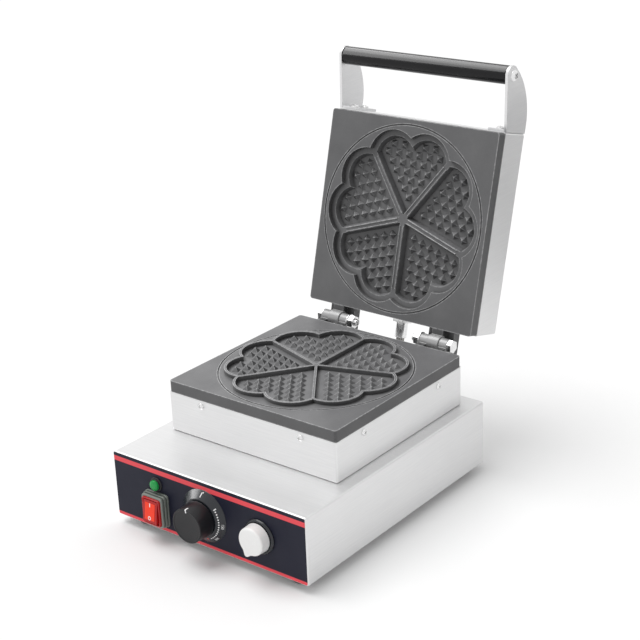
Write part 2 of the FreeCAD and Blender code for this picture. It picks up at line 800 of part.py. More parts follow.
def make_switch():
    """Rocker on its pin in a red frame, a stepped boot round the frame, and the switch inside."""

    def panel_box(name, width, height, out, inward):
        """A box centred on the switch from out in front of the overlay to inward behind it."""
        return box(name, (width, f"{out} + {inward}", height),
                   (f"{SWITCH_X} - ({width}) / 2", f"{PANEL_FRONT} - ({out})",
                    f"switch_height - ({height}) / 2"))

    wall = "(overlay_thickness + sheet_gauge)"
    outer = panel_box("frame_outer", "frame_width", "frame_height", "frame_front", wall)
    window = panel_box("frame_window", "frame_window_width", "frame_window_height", "frame_front", wall)
    pin_y = f"{PANEL_FRONT} - rocker_front + pin_behind_front"
    pin_at = (f"{SWITCH_X} - frame_width / 2", pin_y, "switch_height")
    pin_hole = cylinder("frame_pin_hole", "pin_radius + pin_clearance", "frame_width", pin_at, "x")
    node("switch_frame", cut("switch_frame", outer, window, pin_hole))
    node("rocker_pin", cylinder("rocker_pin", "pin_radius", "frame_width", pin_at, "x"))

    flange = panel_box("boot_flange", "boot_flange_width", "boot_flange_height", "boot_flange_thickness", "0")
    steps = [flange]
    for number in (1, 2):
        out = f"boot_flange_thickness + {number} * (boot_front - boot_flange_thickness) / 2"
        steps.append(panel_box(f"boot_step{number}", f"boot_flange_width - {2 * number} * boot_step",
                               f"boot_flange_height - {2 * number} * boot_step", out, "0"))
    boot_window = panel_box("boot_window", "frame_width + 2 * boot_clearance",
                            "frame_height + 2 * boot_clearance", "boot_front", "0")
    node("switch_boot", cut("switch_boot", fuse("boot_steps", *steps), boot_window))
    node("switch_body", box(
        "switch_body", ("frame_width", "switch_body_depth", "frame_height"),
        (f"{SWITCH_X} - frame_width / 2", "panel_y + sheet_gauge", "switch_height - frame_height / 2")))

    key = box("rocker_key", ("rocker_width", "rocker_depth", "rocker_height"),
              ("-rocker_width / 2", "-pin_behind_front", "-rocker_height / 2"))
    bore = cylinder("rocker_bore", "pin_radius + pin_clearance", "rocker_width",
                    ("-rocker_width / 2", "0", "0"), "x")
    lens = box(
        "rocker_lens_pad",
        ("rocker_width - 2 * rocker_lens_inset", "rocker_lens_thickness",
         "rocker_height - 2 * rocker_lens_inset"),
        ("-rocker_width / 2 + rocker_lens_inset", "-pin_behind_front - rocker_lens_thickness",
         "-rocker_height / 2 + rocker_lens_inset"),
    )
    for label, item in (("rocker", cut("rocker", key, bore)), ("rocker_lens", group("rocker_lens", lens))):
        place(item, (SWITCH_X, pin_y, "switch_height"))
        item.Placement = FreeCAD.Placement(item.Placement.Base, FreeCAD.Rotation(X_AXIS, -size.rocker_tilt))
        item.setExpression("Placement.Rotation.Angle", formula("-rocker_tilt"))
        node(label, item)


def make_pilot():
    """Green pilot lamp: lens, threaded body with its bezel, and the nut behind the wall."""
    at = (SWITCH_X, PANEL_FRONT, "pilot_height")
    bezel = cylinder("pilot_bezel", "pilot_bezel_radius", "pilot_bezel_height", at, "-y")
    barrel = cylinder("pilot_barrel", "pilot_body_radius", "pilot_body_length", at, "y")
    node("pilot_body", fuse("pilot_body", bezel, barrel))
    node("pilot_lens", cone(
        "pilot_lens", "pilot_lens_radius", "pilot_lens_radius - pilot_lens_taper", "pilot_lens_height",
        (SWITCH_X, f"{PANEL_FRONT} - pilot_bezel_height", "pilot_height"), "-y"))
    inner = (SWITCH_X, "panel_y + sheet_gauge", "pilot_height")
    nut = hexagon("pilot_nut_body", "pilot_nut_circumradius", "pilot_nut_height", inner, "y")
    thread = cylinder("pilot_nut_bore", PILOT_HOLE, "pilot_nut_height", inner, "y")
    node("pilot_nut", cut("pilot_nut", nut, thread))


def make_lower():
    """Lower housing, lower plate with its waffle pattern, screws and bolts."""
    shell = place(tray("lower_shell", HOUSING_SIZE, HOUSING_SIZE, "lower_housing_height", True),
                  ("0", PLATE_CENTRE, BASE_TOP))
    inner = f"({HOUSING_SIZE} - 2 * lower_flange)"
    floor = box("lower_floor_hole", (inner, inner, THROUGH),
                (f"-{inner} / 2", f"{PLATE_CENTRE} - {inner} / 2", f"{BASE_TOP} - sheet_gauge"))
    ties = [
        cylinder(f"lower_tie_hole{n}", "tie_bolt_radius + screw_hole_clearance", THROUGH,
                 (*at, f"{BASE_TOP} - sheet_gauge"))
        for n, at in enumerate(tie_places())
    ]
    holes = [
        cylinder(f"lower_screw_hole{n}", SCREW_HOLE, THROUGH, at, along)
        for n, (at, along) in enumerate(side_screws(BEFORE_SHEET))
    ]
    node("lower_housing", cut("lower_housing", shell, floor, *ties, *holes))
    screws = [
        screw(f"lower_screw{n}", "screw_head_radius", "screw_head_height", "screw_radius", "screw_length",
              at, along)
        for n, (at, along) in enumerate(side_screws("0"))
    ]
    node("lower_housing_screws", group("lower_housing_screws", *screws))
    grip = "2 * sheet_gauge + tie_nut_height + tie_bolt_end"
    bolts = [
        screw(f"tie_bolt{n}", "tie_bolt_head", "tie_bolt_head_height", "tie_bolt_radius", grip,
              (*at, f"{BASE_TOP} + sheet_gauge"), "-z")
        for n, at in enumerate(tie_places())
    ]
    node("tie_bolts", group("tie_bolts", *bolts))
    nuts = []
    for n, at in enumerate(tie_places()):
        start = (*at, f"{BASE_TOP} - sheet_gauge - tie_nut_height")
        body = hexagon(f"tie_nut_body{n}", "tie_nut_circumradius", "tie_nut_height", start)
        bore = cylinder(f"tie_nut_bore{n}", "tie_bolt_radius + screw_hole_clearance", "tie_nut_height", start)
        nuts.append(cut(f"tie_nut{n}", body, bore))
    node("tie_nuts", group("tie_nuts", *nuts))
    make_lower_plate()


def side_screws(standing_off):
    """Head seats and directions of the eight screws in the lower housing's walls."""
    reach = f"({HALF_HOUSING} + {standing_off})"
    level = f"{PLATE_UNDERSIDE} - screw_drop"
    places = []
    for side in (-1, 1):
        sign = "-" if side > 0 else ""
        for shift in (-1, 1):
            on_end = (f"{shift} * lug_spacing", f"{PLATE_CENTRE} + {side} * {reach}", level)
            on_side = (f"{side} * {reach}", f"{PLATE_CENTRE} + {shift} * lug_spacing", level)
            places += [(on_end, f"{sign}y"), (on_side, f"{sign}x")]
    return places


def make_lower_plate():
    """Cast plate in the hinge frame: flange, boss, screw lugs, rim, dividers and pyramids."""
    top = "(-parting_gap / 2)"
    under = f"({top} - plate_thickness)"
    flange = slab("lower_slab", under)
    boss = cylinder("lower_boss", BOSS_RADIUS, "boss_thickness - floor_sink",
                    ("0", MIDDLE, f"{top} - boss_thickness"))
    lugs = []
    outer = f"({HALF_HOUSING} - sheet_gauge - lug_gap)"
    foot = f"{under} - lug_height"
    for side in (-1, 1):
        low = f"-{outer}" if side < 0 else f"({outer} - lug_depth)"
        for shift in (-1, 1):
            along = f"{shift} * lug_spacing - lug_width / 2"
            lugs.append(box(f"lower_lug_y{side}{shift}", ("lug_width", "lug_depth", "lug_height"),
                            (along, f"{MIDDLE} + {low}", foot)))
            lugs.append(box(f"lower_lug_x{side}{shift}", ("lug_depth", "lug_width", "lug_height"),
                            (low, f"{MIDDLE} + {along}", foot)))
    floor = f"({top} - floor_sink)"
    inner = "rim_lobe - rim_width"
    rim = cut("rim", flower("rim_outer", "rim_lobe", "rim_height + floor_sink", floor),
              flower("rim_inner", inner, "rim_height + floor_sink", floor))
    dish = flower("dish", inner, "floor_sink", floor)
    tall = "lower_divider_height + floor_sink"
    walls = common(
        "lower_walls",
        dividers("lower_ridge", "lower_divider_base", "lower_divider_top", tall, floor),
        flower("walls_limit", "rim_lobe - rim_width / 2", tall, floor),
    )
    tips = place(pyramids("lower_pyramids", size.floor_sink), ("0", MIDDLE, floor))
    threads = [
        cylinder(f"lower_thread{n}", SCREW_HOLE, "screw_length + thread_runout",
                 (at[0], f"{at[1]} - {HINGE_Y}", f"{at[2]} - {HINGE_Z}"), along)
        for n, (at, along) in enumerate(side_screws("0"))
    ]
    ring = groove("lower_groove", f"{top} - groove_depth", "groove_depth")
    sunk = cut("lower_sunk", fuse("lower_flat", flange, *lugs), dish, ring)
    solid = fuse("lower_casting", sunk, boss, rim, walls, tips)
    clamp_holes = clamp_threads("lower", f"{top} - boss_thickness", "z")
    node("lower_plate", at_hinge(cut("lower_plate", solid, *threads, *clamp_holes)))
    make_hinge_ears(flange, under)


def make_hinge_ears(flange, under):
    """Four lugs on the lower plate's rear edge, bored for the hinge bolts; their heels stop the open lid."""
    drop = "(plate_thickness + parting_gap / 2)"
    heel = f"((hood_lift - stop_gap + {drop} * cos(lid_open_angle)) / sin(lid_open_angle))"
    ears = []
    bores = []
    for side in (-1, 1):
        for hand in (-1, 1):
            middle = f"({side} * hinge_x + {hand} * (tongue_width / 2 + knuckle_gap + ear_width / 2))"
            name = f"ear{side}{hand}"
            left = f"{middle} - ear_width / 2"
            ears.append(cylinder(f"{name}_eye", "ear_radius", "ear_width", (left, "0", "0"), "x"))
            arm = ("ear_width", f"hinge_reach + plate_corner + {heel}", "plate_thickness")
            ears.append(box(f"{name}_arm", arm, (left, "-hinge_reach - plate_corner", under)))
        bores.append(cylinder(f"ear_bore{side}", BOLT_HOLE, "4 * ear_width",
                              (f"{side} * hinge_x - 2 * ear_width", "0", "0"), "x"))
    node("hinge_ears", at_hinge(cut("hinge_ears", fuse("ears_whole", *ears), flange, *bores)))


def clamp_threads(name, level, along):
    """Tapped holes in a plate's boss for the clamp ring's screws."""
    return [
        cylinder(f"{name}_clamp_thread{n}", "clamp_screw_radius + screw_hole_clearance",
                 "clamp_screw_grip + thread_runout", (*at, level), along)
        for n, at in enumerate(clamp_places())
    ]


def clamp_places():
    """Where the clamp rings' screws stand, in the hinge frame."""
    return [(f"clamp_screw_ring * cos({angle})", f"{MIDDLE} + clamp_screw_ring * sin({angle})")
            for angle in CLAMP_ANGLES]


def make_upper_plate():
    """Cast plate of the lid in the hinge frame: flange, boss, posts and the waffle."""
    face = "(parting_gap / 2)"
    flange = slab("upper_slab", face)
    boss = cylinder("upper_boss", BOSS_RADIUS, "boss_thickness", ("0", MIDDLE, face))
    posts = []
    post_holes = []
    height = "(upper_housing_height - sheet_gauge)"
    for n, at in enumerate(lid_screw_places()):
        posts.append(cylinder(f"upper_post{n}", "lid_post_radius", height, (*at, LID_BACK)))
        post_holes.append(cylinder(f"upper_post_hole{n}", SCREW_HOLE, "screw_length + thread_runout",
                                   (*at, f"{LID_TOP} - sheet_gauge"), "-z"))
    recess = flower("recess", "recess_lobe + recess_draft", "recess_depth", face, "recess_lobe")
    pocket_height = "(pocket_depth - recess_depth)"
    ledge = f"({face} + recess_depth)"
    pockets = flower("pockets", "pocket_lobe", pocket_height, ledge, "pocket_lobe - pocket_draft")
    ridges = dividers("upper_ridge", "upper_divider_base", "upper_divider_top", pocket_height, ledge, False)
    tips = place(pyramids("upper_pyramids", size.floor_sink), ("0", MIDDLE, f"{face} + pocket_depth"), "-z")
    tips.Placement = FreeCAD.Placement(tips.Placement.Base, FreeCAD.Rotation(Y_AXIS, 180))
    hollow = fuse("upper_hollow", recess, cut("upper_pockets", pockets, ridges, tips))
    solid = fuse("upper_casting", flange, boss, *posts)
    clamp_holes = clamp_threads("upper", f"{face} + boss_thickness", "-z")
    ring = groove("upper_groove", face, "groove_depth")
    plate = cut("upper_plate", solid, hollow, ring, *post_holes, *clamp_holes)
    node("upper_plate", on_lid(plate))
    make_hinge_tongues(flange, face)


def make_hinge_tongues(flange, face):
    """Two lugs on the upper plate's rear edge that turn between the ears, each with a hood."""
    tongues = []
    bores = []
    for side in (-1, 1):
        left = f"{side} * hinge_x - tongue_width / 2"
        hood_left = f"{side} * hinge_x - hood_width / 2"
        name = f"tongue{side}"
        tongues.append(cylinder(f"{name}_eye", "tongue_radius", "tongue_width", (left, "0", "0"), "x"))
        web = ("tongue_width", "hinge_reach + plate_corner + hood_overhang / 2",
               f"hood_lift - {face} + hood_overlap")
        hood = ("hood_width", "hinge_reach - housing_lip - knuckle_gap + hood_overhang",
                "hood_top - hood_lift")
        neck = ("hood_width", "2 * plate_corner + housing_lip", "plate_thickness - hood_lift")
        root = "-hinge_reach - plate_corner"
        tongues.append(box(f"{name}_web", web, (left, root, face)))
        tongues.append(box(f"{name}_hood", hood,
                           (hood_left, "-hinge_reach + housing_lip + knuckle_gap", "hood_lift")))
        tongues.append(box(f"{name}_neck", neck, (hood_left, root, "hood_lift")))
        bores.append(cylinder(f"tongue_bore{side}", BOLT_HOLE, "2 * tongue_width",
                              (f"{side} * hinge_x - tongue_width", "0", "0"), "x"))
    node("hinge_tongues", on_lid(cut("hinge_tongues", fuse("tongues_whole", *tongues), flange, *bores)))


def lid_screw_places():
    """Where screws hold the upper housing on the posts of the plate, in the hinge frame."""
    reach = "(plate_size / 2 - lid_post_inset)"
    return [(f"{across} * {reach}", f"{MIDDLE} + {along} * {reach}") for across, along in signs()]


def make_upper_housing():
    """Folded tray over the back of the upper plate, and its four screws."""
    shell = place(tray("upper_shell", HOUSING_SIZE, HOUSING_SIZE, "upper_housing_height", False),
                  ("0", MIDDLE, LID_BACK))
    holes = [
        cylinder(f"upper_screw_hole{n}", SCREW_HOLE, THROUGH, (*at, f"{LID_TOP} - {BEFORE_SHEET}"))
        for n, at in enumerate(lid_screw_places())
    ]
    port = cylinder("upper_port", GLAND_HOLE, THROUGH,
                    ("0", f"{LID_REAR} - {BEFORE_SHEET}", LID_PORT), "y")
    feet = [
        cylinder(f"upper_bracket_hole{side}{name}", "bracket_screw_radius + screw_hole_clearance", THROUGH,
                 (x, f"{LID_FRONT} - {BEFORE_SHEET}", z), "y")
        for side in (-1, 1) for name, (x, z) in bracket_screw_places(side).items()
    ]
    node("upper_housing", on_lid(cut("upper_housing", shell, port, *holes, *feet)))
    screws = [
        screw(f"upper_screw{n}", "screw_head_radius", "screw_head_height", "screw_radius", "screw_length",
              (*at, LID_TOP), "-z")
        for n, at in enumerate(lid_screw_places())
    ]
    node("upper_housing_screws", on_lid(group("upper_housing_screws", *screws)))


def bracket_screw_places(side):
    """The two screws of one bracket's foot, on the lid's front wall."""
    x = f"{side} * ({HALF_HOUSING} - bracket_thickness - bracket_foot / 2)"
    return {"low": (x, "bracket_screw_low"), "high": (x, "bracket_screw_high")}


def make_handle():
    """Two bracket plates with feet turned inwards, the grip between them on a rod, and domed end caps."""
    front = amount(LID_FRONT)
    end = Vector(0, front - size.grip_out, size.grip_up)
    slant = size.bracket_end_radius * math.sqrt(0.5)
    base_front = Vector(0, front, size.bracket_base_front)
    base_back = Vector(0, front, size.bracket_base_back)
    bulge = Vector(0, front - size.bracket_bulge_out, size.bracket_bulge_up)
    shoulder = end + Vector(0, -slant, slant)
    tip = end + Vector(0, -size.bracket_end_radius, 0)
    heel = end + Vector(0, 0, -size.bracket_end_radius)
    outline = Part.Wire([
        Part.LineSegment(base_front, base_back).toShape(),
        Part.Arc(base_back, bulge, shoulder).toShape(),
        Part.Arc(shoulder, tip, heel).toShape(),
        Part.LineSegment(heel, base_front).toShape(),
    ])
    half = HALF_HOUSING
    axis = (f"{LID_FRONT} - grip_out", "grip_up")
    caps = []
    screws = []
    for side, hand in ((-1, "left"), (1, "right")):
        inner_x = side * amount(half) - (size.bracket_thickness if side > 0 else 0)
        cheek = Part.Face(outline).extrude(Vector(size.bracket_thickness, 0, 0))
        cheek.translate(Vector(inner_x, 0, 0))
        plate = feature(f"bracket_cheek_{hand}", cheek)
        foot_x = f"{half} - bracket_thickness - bracket_foot" if side > 0 else f"-{half}"
        foot_lengths = ("bracket_foot + bracket_thickness", "bracket_thickness",
                        "bracket_base_back - bracket_base_front")
        foot = box(f"bracket_foot_{hand}", foot_lengths,
                   (foot_x, f"{LID_FRONT} - bracket_thickness", "bracket_base_front"))
        rod_hole = cylinder(f"bracket_rod_hole_{hand}", ROD_HOLE, "4 * bracket_thickness",
                            (f"{side} * {half} - 2 * bracket_thickness", *axis), "x")
        holes = []
        for name, (x, z) in bracket_screw_places(side).items():
            seat = (x, f"{LID_FRONT} - bracket_thickness", z)
            holes.append(cylinder(
                f"bracket_hole_{hand}_{name}", "bracket_screw_radius + screw_hole_clearance",
                "2 * bracket_thickness", seat, "y"))
            screws.append(screw(
                f"bracket_screw_{hand}_{name}", "bracket_screw_head", "bracket_screw_head_height",
                "bracket_screw_radius", "bracket_screw_length", seat, "y"))
        bent = fuse(f"bracket_bent_{hand}", plate, foot)
        node(f"handle_bracket_{hand}", on_lid(cut(f"handle_bracket_{hand}", bent, rod_hole, *holes)))
        seat = (f"{side} * {half}", *axis)
        outward = "x" if side > 0 else "-x"
        cap = cylinder(f"cap_{hand}", "end_cap_radius", "end_cap_height", seat, outward)
        cap_bore = cylinder(f"cap_bore_{hand}", ROD_HOLE, "end_cap_height / 2", seat, outward)
        caps.append(cut(f"end_cap_{hand}", cap, cap_bore))
    node("handle_bracket_screws", on_lid(group("handle_bracket_screws", *screws)))
    node("handle_end_caps", on_lid(group("handle_end_caps", *caps)))
    inner = f"({half} - bracket_thickness - grip_end_gap)"
    bar = cylinder("grip_bar", "grip_radius", f"2 * {inner}", (f"-{inner}", *axis), "x")
    bore = cylinder("grip_bore", ROD_HOLE, f"2 * {inner}", (f"-{inner}", *axis), "x")
    node("handle_grip", on_lid(cut("handle_grip", bar, bore)))
    reach = f"({half} + end_cap_height / 2 - rod_clearance)"
    rod = cylinder("handle_rod_bar", "rod_radius", f"2 * {reach}", (f"-{reach}", *axis), "x")
    node("handle_rod", on_lid(group("handle_rod", rod)))


def make_hinge():
    """Hinge bolts from the outer ends, with washers and nuts at the inner ends."""
    half = "(tongue_width / 2 + knuckle_gap + ear_width)"
    bolts = []
    nuts = []
    washers = []
    for side, hand in ((-1, "left"), (1, "right")):
        inward = "x" if side < 0 else "-x"
        outer = f"({side} * (hinge_x + {half}))"
        inner = f"({side} * (hinge_x - {half}))"
        head = hexagon(f"bolt_head_{hand}", "bolt_head_circumradius", "bolt_head_height", (outer, "0", "0"),
                       "-x" if side < 0 else "x")
        shank = cylinder(f"bolt_shank_{hand}", "bolt_radius",
                         f"2 * {half} + washer_thickness + nut_height + bolt_thread_end",
                         (outer, "0", "0"), inward)
        bolts.append(fuse(f"hinge_bolt_{hand}", head, shank))
        seat = (inner, "0", "0")
        washer = cylinder(f"washer_disc_{hand}", "washer_radius", "washer_thickness", seat, inward)
        washer_bore = cylinder(f"washer_bore_{hand}", BOLT_HOLE, "washer_thickness", seat, inward)
        washers.append(cut(f"hinge_washer_{hand}", washer, washer_bore))
        seat = (f"{inner} - {side} * washer_thickness", "0", "0")
        nut = hexagon(f"nut_body_{hand}", "bolt_head_circumradius", "nut_height", seat, inward)
        nut_bore = cylinder(f"nut_bore_{hand}", BOLT_HOLE, "nut_height", seat, inward)
        nuts.append(cut(f"hinge_nut_{hand}", nut, nut_bore))
    node("hinge_bolts", at_hinge(group("hinge_bolts", *bolts)))
    node("hinge_washers", at_hinge(group("hinge_washers", *washers)))
    node("hinge_nuts", at_hinge(group("hinge_nuts", *nuts)))


def heater_route(away):
    """A rounded loop on the back of a plate's boss, its two ends turned away (+1 up, -1 down)."""
    middle_y = amount(MIDDLE)
    level = away * amount(f"{BOSS_BACK} + heater_gap + heater_radius")
    loop = []
    for number in range(1, LOOP_CORNERS):
        angle = math.radians(90 + 360 / LOOP_CORNERS * number)
        across = size.heater_loop * math.cos(angle)
        loop.append(Vector(across, middle_y + size.heater_loop * math.sin(angle), level))
    ends = []
    for side in (-1, 1):
        foot = Vector(side * size.heater_end_offset, middle_y + size.heater_loop, level)
        ends.append((foot, foot + Vector(0, 0, away * size.heater_tail)))
    return [ends[0][1], ends[0][0], *loop, ends[1][0], ends[1][1]]


def make_heater(name, away, mount):
    """Tubular heater, the ring that clamps it to the boss, and the ring's screws."""
    along = "z" if away > 0 else "-z"
    back = "-z" if away > 0 else "z"
    node(f"{name}_heater", mount(tube(f"{name}_heater", heater_route(away), size.heater_radius)))
    level = f"({away} * ({BOSS_BACK} + 2 * heater_radius + 2 * heater_gap))"
    far = f"({level} + {away} * clamp_thickness)"
    ring = cylinder(f"{name}_ring_outer", "clamp_outer", "clamp_thickness", ("0", MIDDLE, level), along)
    hole = cylinder(f"{name}_ring_inner", "clamp_inner", "clamp_thickness", ("0", MIDDLE, level), along)
    slot_start = f"{MIDDLE} + heater_loop - 2 * heater_radius"
    slot = box(f"{name}_ring_slot", ("heater_loop", "heater_loop", "4 * clamp_thickness"),
               ("-heater_loop / 2", slot_start, f"{level} - 2 * clamp_thickness"))
    shank = "clamp_thickness + 2 * heater_radius + 2 * heater_gap + clamp_screw_grip"
    screws = []
    holes = []
    for n, at in enumerate(clamp_places()):
        holes.append(cylinder(f"{name}_ring_hole{n}", "clamp_screw_radius + screw_hole_clearance",
                              "clamp_thickness", (*at, level), along))
        screws.append(screw(f"{name}_clamp_screw{n}", "clamp_screw_head", "clamp_screw_head_height",
                            "clamp_screw_radius", shank, (*at, far), back))
    node(f"{name}_heater_clamp", mount(cut(f"{name}_heater_clamp", ring, hole, slot, *holes)))
    node(f"{name}_clamp_screws", mount(group(f"{name}_clamp_screws", *screws)))


def make_sensor():
    """Thermostat bulb under the lower plate, in the clamp ring, and its capillary to the thermostat."""
    level = f"({HINGE_Z} - parting_gap / 2 - boss_thickness - heater_gap - heater_radius)"
    node("thermostat_bulb", cylinder(
        "thermostat_bulb", "heater_radius - heater_gap", "bulb_left + bulb_right",
        ("-bulb_left", PLATE_CENTRE, level), "x"))
    centre_y = amount(PLATE_CENTRE)
    top = amount(level)
    case_back = size.panel_y + size.sheet_gauge + size.thermostat_depth
    base_top = amount(BASE_TOP)
    exit_z = size.control_height - size.thermostat_height / 4
    far = size.bulb_right + size.capillary_run
    route = [
        Vector(size.bulb_right, centre_y, top),
        Vector(far, centre_y, top),
        Vector(far - size.capillary_lean, centre_y, base_top + size.capillary_above),
        Vector(size.bulb_right - size.capillary_lean, centre_y - size.capillary_forward,
               base_top - size.capillary_below),
        Vector(size.thermostat_x, (centre_y + case_back) / 2, exit_z),
        Vector(size.thermostat_x, case_back, exit_z),
    ]
    node("thermostat_capillary", tube("thermostat_capillary", route, size.capillary_radius))


def make_terminals():
    """Terminal block on the bottom plate near the rear wall."""
    node("terminal_block", box(
        "terminal_block", ("terminal_width", "terminal_depth", "terminal_height"),
        ("-terminal_width / 2", f"{REAR_WALL} - terminal_from_rear - terminal_depth",
         "foot_height + sheet_gauge")))


def gland(name, bore, seat_x, seat_z, tip_radius, tip_length, outer_face):
    """A cable gland through a wall whose outer face looks along +Y: thread, hexagon, tip and bore."""
    at = (seat_x, outer_face, seat_z)
    thread = cylinder(f"{name}_thread", "gland_thread_radius", "sheet_gauge + gland_inside",
                      (seat_x, f"{outer_face} - sheet_gauge - gland_inside", seat_z), "y")
    body = hexagon(f"{name}_hex", "gland_hex", "gland_hex_height", at, "y")
    tip = cylinder(f"{name}_tip", tip_radius, tip_length,
                   (seat_x, f"{outer_face} + gland_hex_height", seat_z), "y")
    hole = cylinder(f"{name}_bore", bore, f"sheet_gauge + gland_inside + gland_hex_height + {tip_length}",
                    (seat_x, f"{outer_face} - sheet_gauge - gland_inside", seat_z), "y")
    return cut(name, fuse(f"{name}_body", thread, body, tip), hole)


def gland_nut(name, seat_x, seat_z, outer_face):
    """The nut that holds a gland from inside the wall."""
    start = (seat_x, f"{outer_face} - sheet_gauge", seat_z)
    body = hexagon(f"{name}_body", "gland_hex", "gland_nut_height", start, "-y")
    bore = cylinder(f"{name}_bore", GLAND_HOLE, "gland_nut_height", start, "-y")
    return cut(name, body, bore)


def make_rear():
    """Mains gland, and the lead sleeve with a gland at each end."""
    bore = "sleeve_radius + sleeve_clearance"
    node("mains_gland", gland("mains_gland", "mains_bore", MAINS_X, "mains_height", "gland_dome_radius",
                              "gland_dome_height", REAR_WALL))
    node("mains_gland_nut", gland_nut("mains_gland_nut", MAINS_X, "mains_height", REAR_WALL))
    node("sleeve_gland_base", gland("sleeve_gland_base", bore, SLEEVE_X, "sleeve_height", "nipple_radius",
                                    "gland_dome_height", REAR_WALL))
    node("sleeve_nut_base", gland_nut("sleeve_nut_base", SLEEVE_X, "sleeve_height", REAR_WALL))
    lid_gland = gland("sleeve_gland_lid", bore, "0", LID_PORT, "nipple_radius", "nipple_length", LID_REAR)
    node("sleeve_gland_lid", on_lid(lid_gland))
    node("sleeve_nut_lid", on_lid(gland_nut("sleeve_nut_lid", "0", LID_PORT, LID_REAR)))

    turn = FreeCAD.Rotation(-X_AXIS, size.lid_open_angle)
    hinge = Vector(0, amount(HINGE_Y), amount(HINGE_Z))
    nipple_end = amount(f"{LID_REAR} + gland_hex_height + nipple_length - sleeve_grip")
    outlet = hinge + turn.multVec(Vector(0, nipple_end, amount(LID_PORT)))
    outward = turn.multVec(Y_AXIS)
    gland_end = amount(f"{REAR_WALL} + gland_hex_height + gland_dome_height - sleeve_grip")
    inlet = Vector(amount(SLEEVE_X), gland_end, size.sleeve_height)
    across = outlet.x - inlet.x
    route = [
        inlet,
        inlet + Vector(0, size.sleeve_run, 0),
        inlet + Vector(SLEEVE_SWING_SHARE * across, size.sleeve_swing, -size.sleeve_swing_drop),
        inlet + Vector(SLEEVE_SAG_SHARE * across, size.sleeve_sag, -size.sleeve_sag_drop),
        inlet + Vector(across, size.sleeve_return, 0),
        outlet + outward * size.sleeve_lid_run,
        outlet,
    ]
    node("lead_sleeve", tube("lead_sleeve", route, size.sleeve_radius))


make_base()
make_thermostat()
make_timer()
make_switch()
make_pilot()
make_lower()
make_upper_plate()
make_upper_housing()
make_handle()
make_hinge()
make_heater("lower", -1, at_hinge)
make_heater("upper", 1, on_lid)
make_sensor()
make_terminals()
make_rear()
doc.recompute()

failed = [item.Label for item in doc.Objects if "Invalid" in item.State or "Error" in item.State]
broken = [item.Label for item in nodes if item.Shape.isNull() or not item.Shape.isValid()]
if failed or broken:
    raise RuntimeError(f"failed objects: {failed}; broken shapes: {broken}")

os.makedirs("parts", exist_ok=True)
for item in nodes:
    item.Shape.exportStep(f"parts/{item.Label}.step")
    bounds = item.Shape.BoundBox
    print(f"{item.Label}: {len(item.Shape.Solids)} solids, {item.Shape.Volume / 1000:.1f} cm3, "
          f"x {bounds.XMin:.1f}..{bounds.XMax:.1f} y {bounds.YMin:.1f}..{bounds.YMax:.1f} "
          f"z {bounds.ZMin:.1f}..{bounds.ZMax:.1f}")
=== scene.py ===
# %% [markdown]
# A counter-top waffle baker, lid open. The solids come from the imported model, in metres, and stay where
# they are. This lesson dresses them: softened edges, finishes made of shader nodes, and the small pieces
# that the solids leave plain, such as cross-slot screws, the dial's printing and the woven sleeve.

# %% Load the solids
import math

import bmesh
import bpy
from mathutils import Matrix, Vector


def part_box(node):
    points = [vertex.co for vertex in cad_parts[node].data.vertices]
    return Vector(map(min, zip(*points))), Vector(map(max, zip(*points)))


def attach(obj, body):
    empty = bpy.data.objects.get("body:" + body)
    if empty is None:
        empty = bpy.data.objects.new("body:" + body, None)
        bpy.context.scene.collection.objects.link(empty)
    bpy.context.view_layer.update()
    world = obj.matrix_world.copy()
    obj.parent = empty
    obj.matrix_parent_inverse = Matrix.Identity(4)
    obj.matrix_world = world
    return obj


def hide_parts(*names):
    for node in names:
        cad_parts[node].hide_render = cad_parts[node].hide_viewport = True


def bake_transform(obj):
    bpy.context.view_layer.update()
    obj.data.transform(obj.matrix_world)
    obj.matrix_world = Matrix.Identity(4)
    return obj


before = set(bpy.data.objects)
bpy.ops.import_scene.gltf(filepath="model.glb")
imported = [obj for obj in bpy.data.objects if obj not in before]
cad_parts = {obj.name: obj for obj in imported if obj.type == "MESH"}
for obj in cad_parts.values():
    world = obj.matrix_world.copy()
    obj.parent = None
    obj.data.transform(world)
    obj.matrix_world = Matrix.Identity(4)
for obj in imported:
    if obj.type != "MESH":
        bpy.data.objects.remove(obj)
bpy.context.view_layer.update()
scene = bpy.context.scene
scene.view_settings.view_transform = "Standard"
MM = 0.001

# %% [markdown]
# The camera comes first, because every later choice is judged through it. Its turn, height and lens were
# worked out from the corners of the housings in the picture, which is square, 640 pixels each way.

# %% Camera
PICTURE_SIDE = 640
FOCAL_PIXELS = 1496.1
SENSOR_WIDTH = 36
CAMERA_AZIMUTH = math.radians(38.88)
CAMERA_ELEVATION = math.radians(21.84)
CAMERA_ROLL = math.radians(-2.33)
CAMERA_PLACE = Vector((0.9037, -1.1272, 0.7660))


def add(name, data):
    item = bpy.data.objects.new(name, data)
    scene.collection.objects.link(item)
    return item


away = Vector((
    math.sin(CAMERA_AZIMUTH) * math.cos(CAMERA_ELEVATION),
    -math.cos(CAMERA_AZIMUTH) * math.cos(CAMERA_ELEVATION),
    math.sin(CAMERA_ELEVATION),
))
camera = add("camera", bpy.data.cameras.new("camera"))
camera.rotation_mode = "QUATERNION"
roll = Matrix.Rotation(CAMERA_ROLL, 3, "Z").to_quaternion()
camera.rotation_quaternion = (-away).to_track_quat("-Z", "Y") @ roll
camera.location = CAMERA_PLACE
camera.data.sensor_width = SENSOR_WIDTH
camera.data.lens = FOCAL_PIXELS * SENSOR_WIDTH / PICTURE_SIDE
scene.camera = camera
print("lens", round(camera.data.lens, 1), "mm")

# %% [markdown]
# The surround is plain white. Light Path tells the rays apart: what the lens meets straight on, in a
# mirror or through glass is full white, while the light that falls on the object comes at a lower level.

# %% Sky
SKY_LEVEL = 0.62


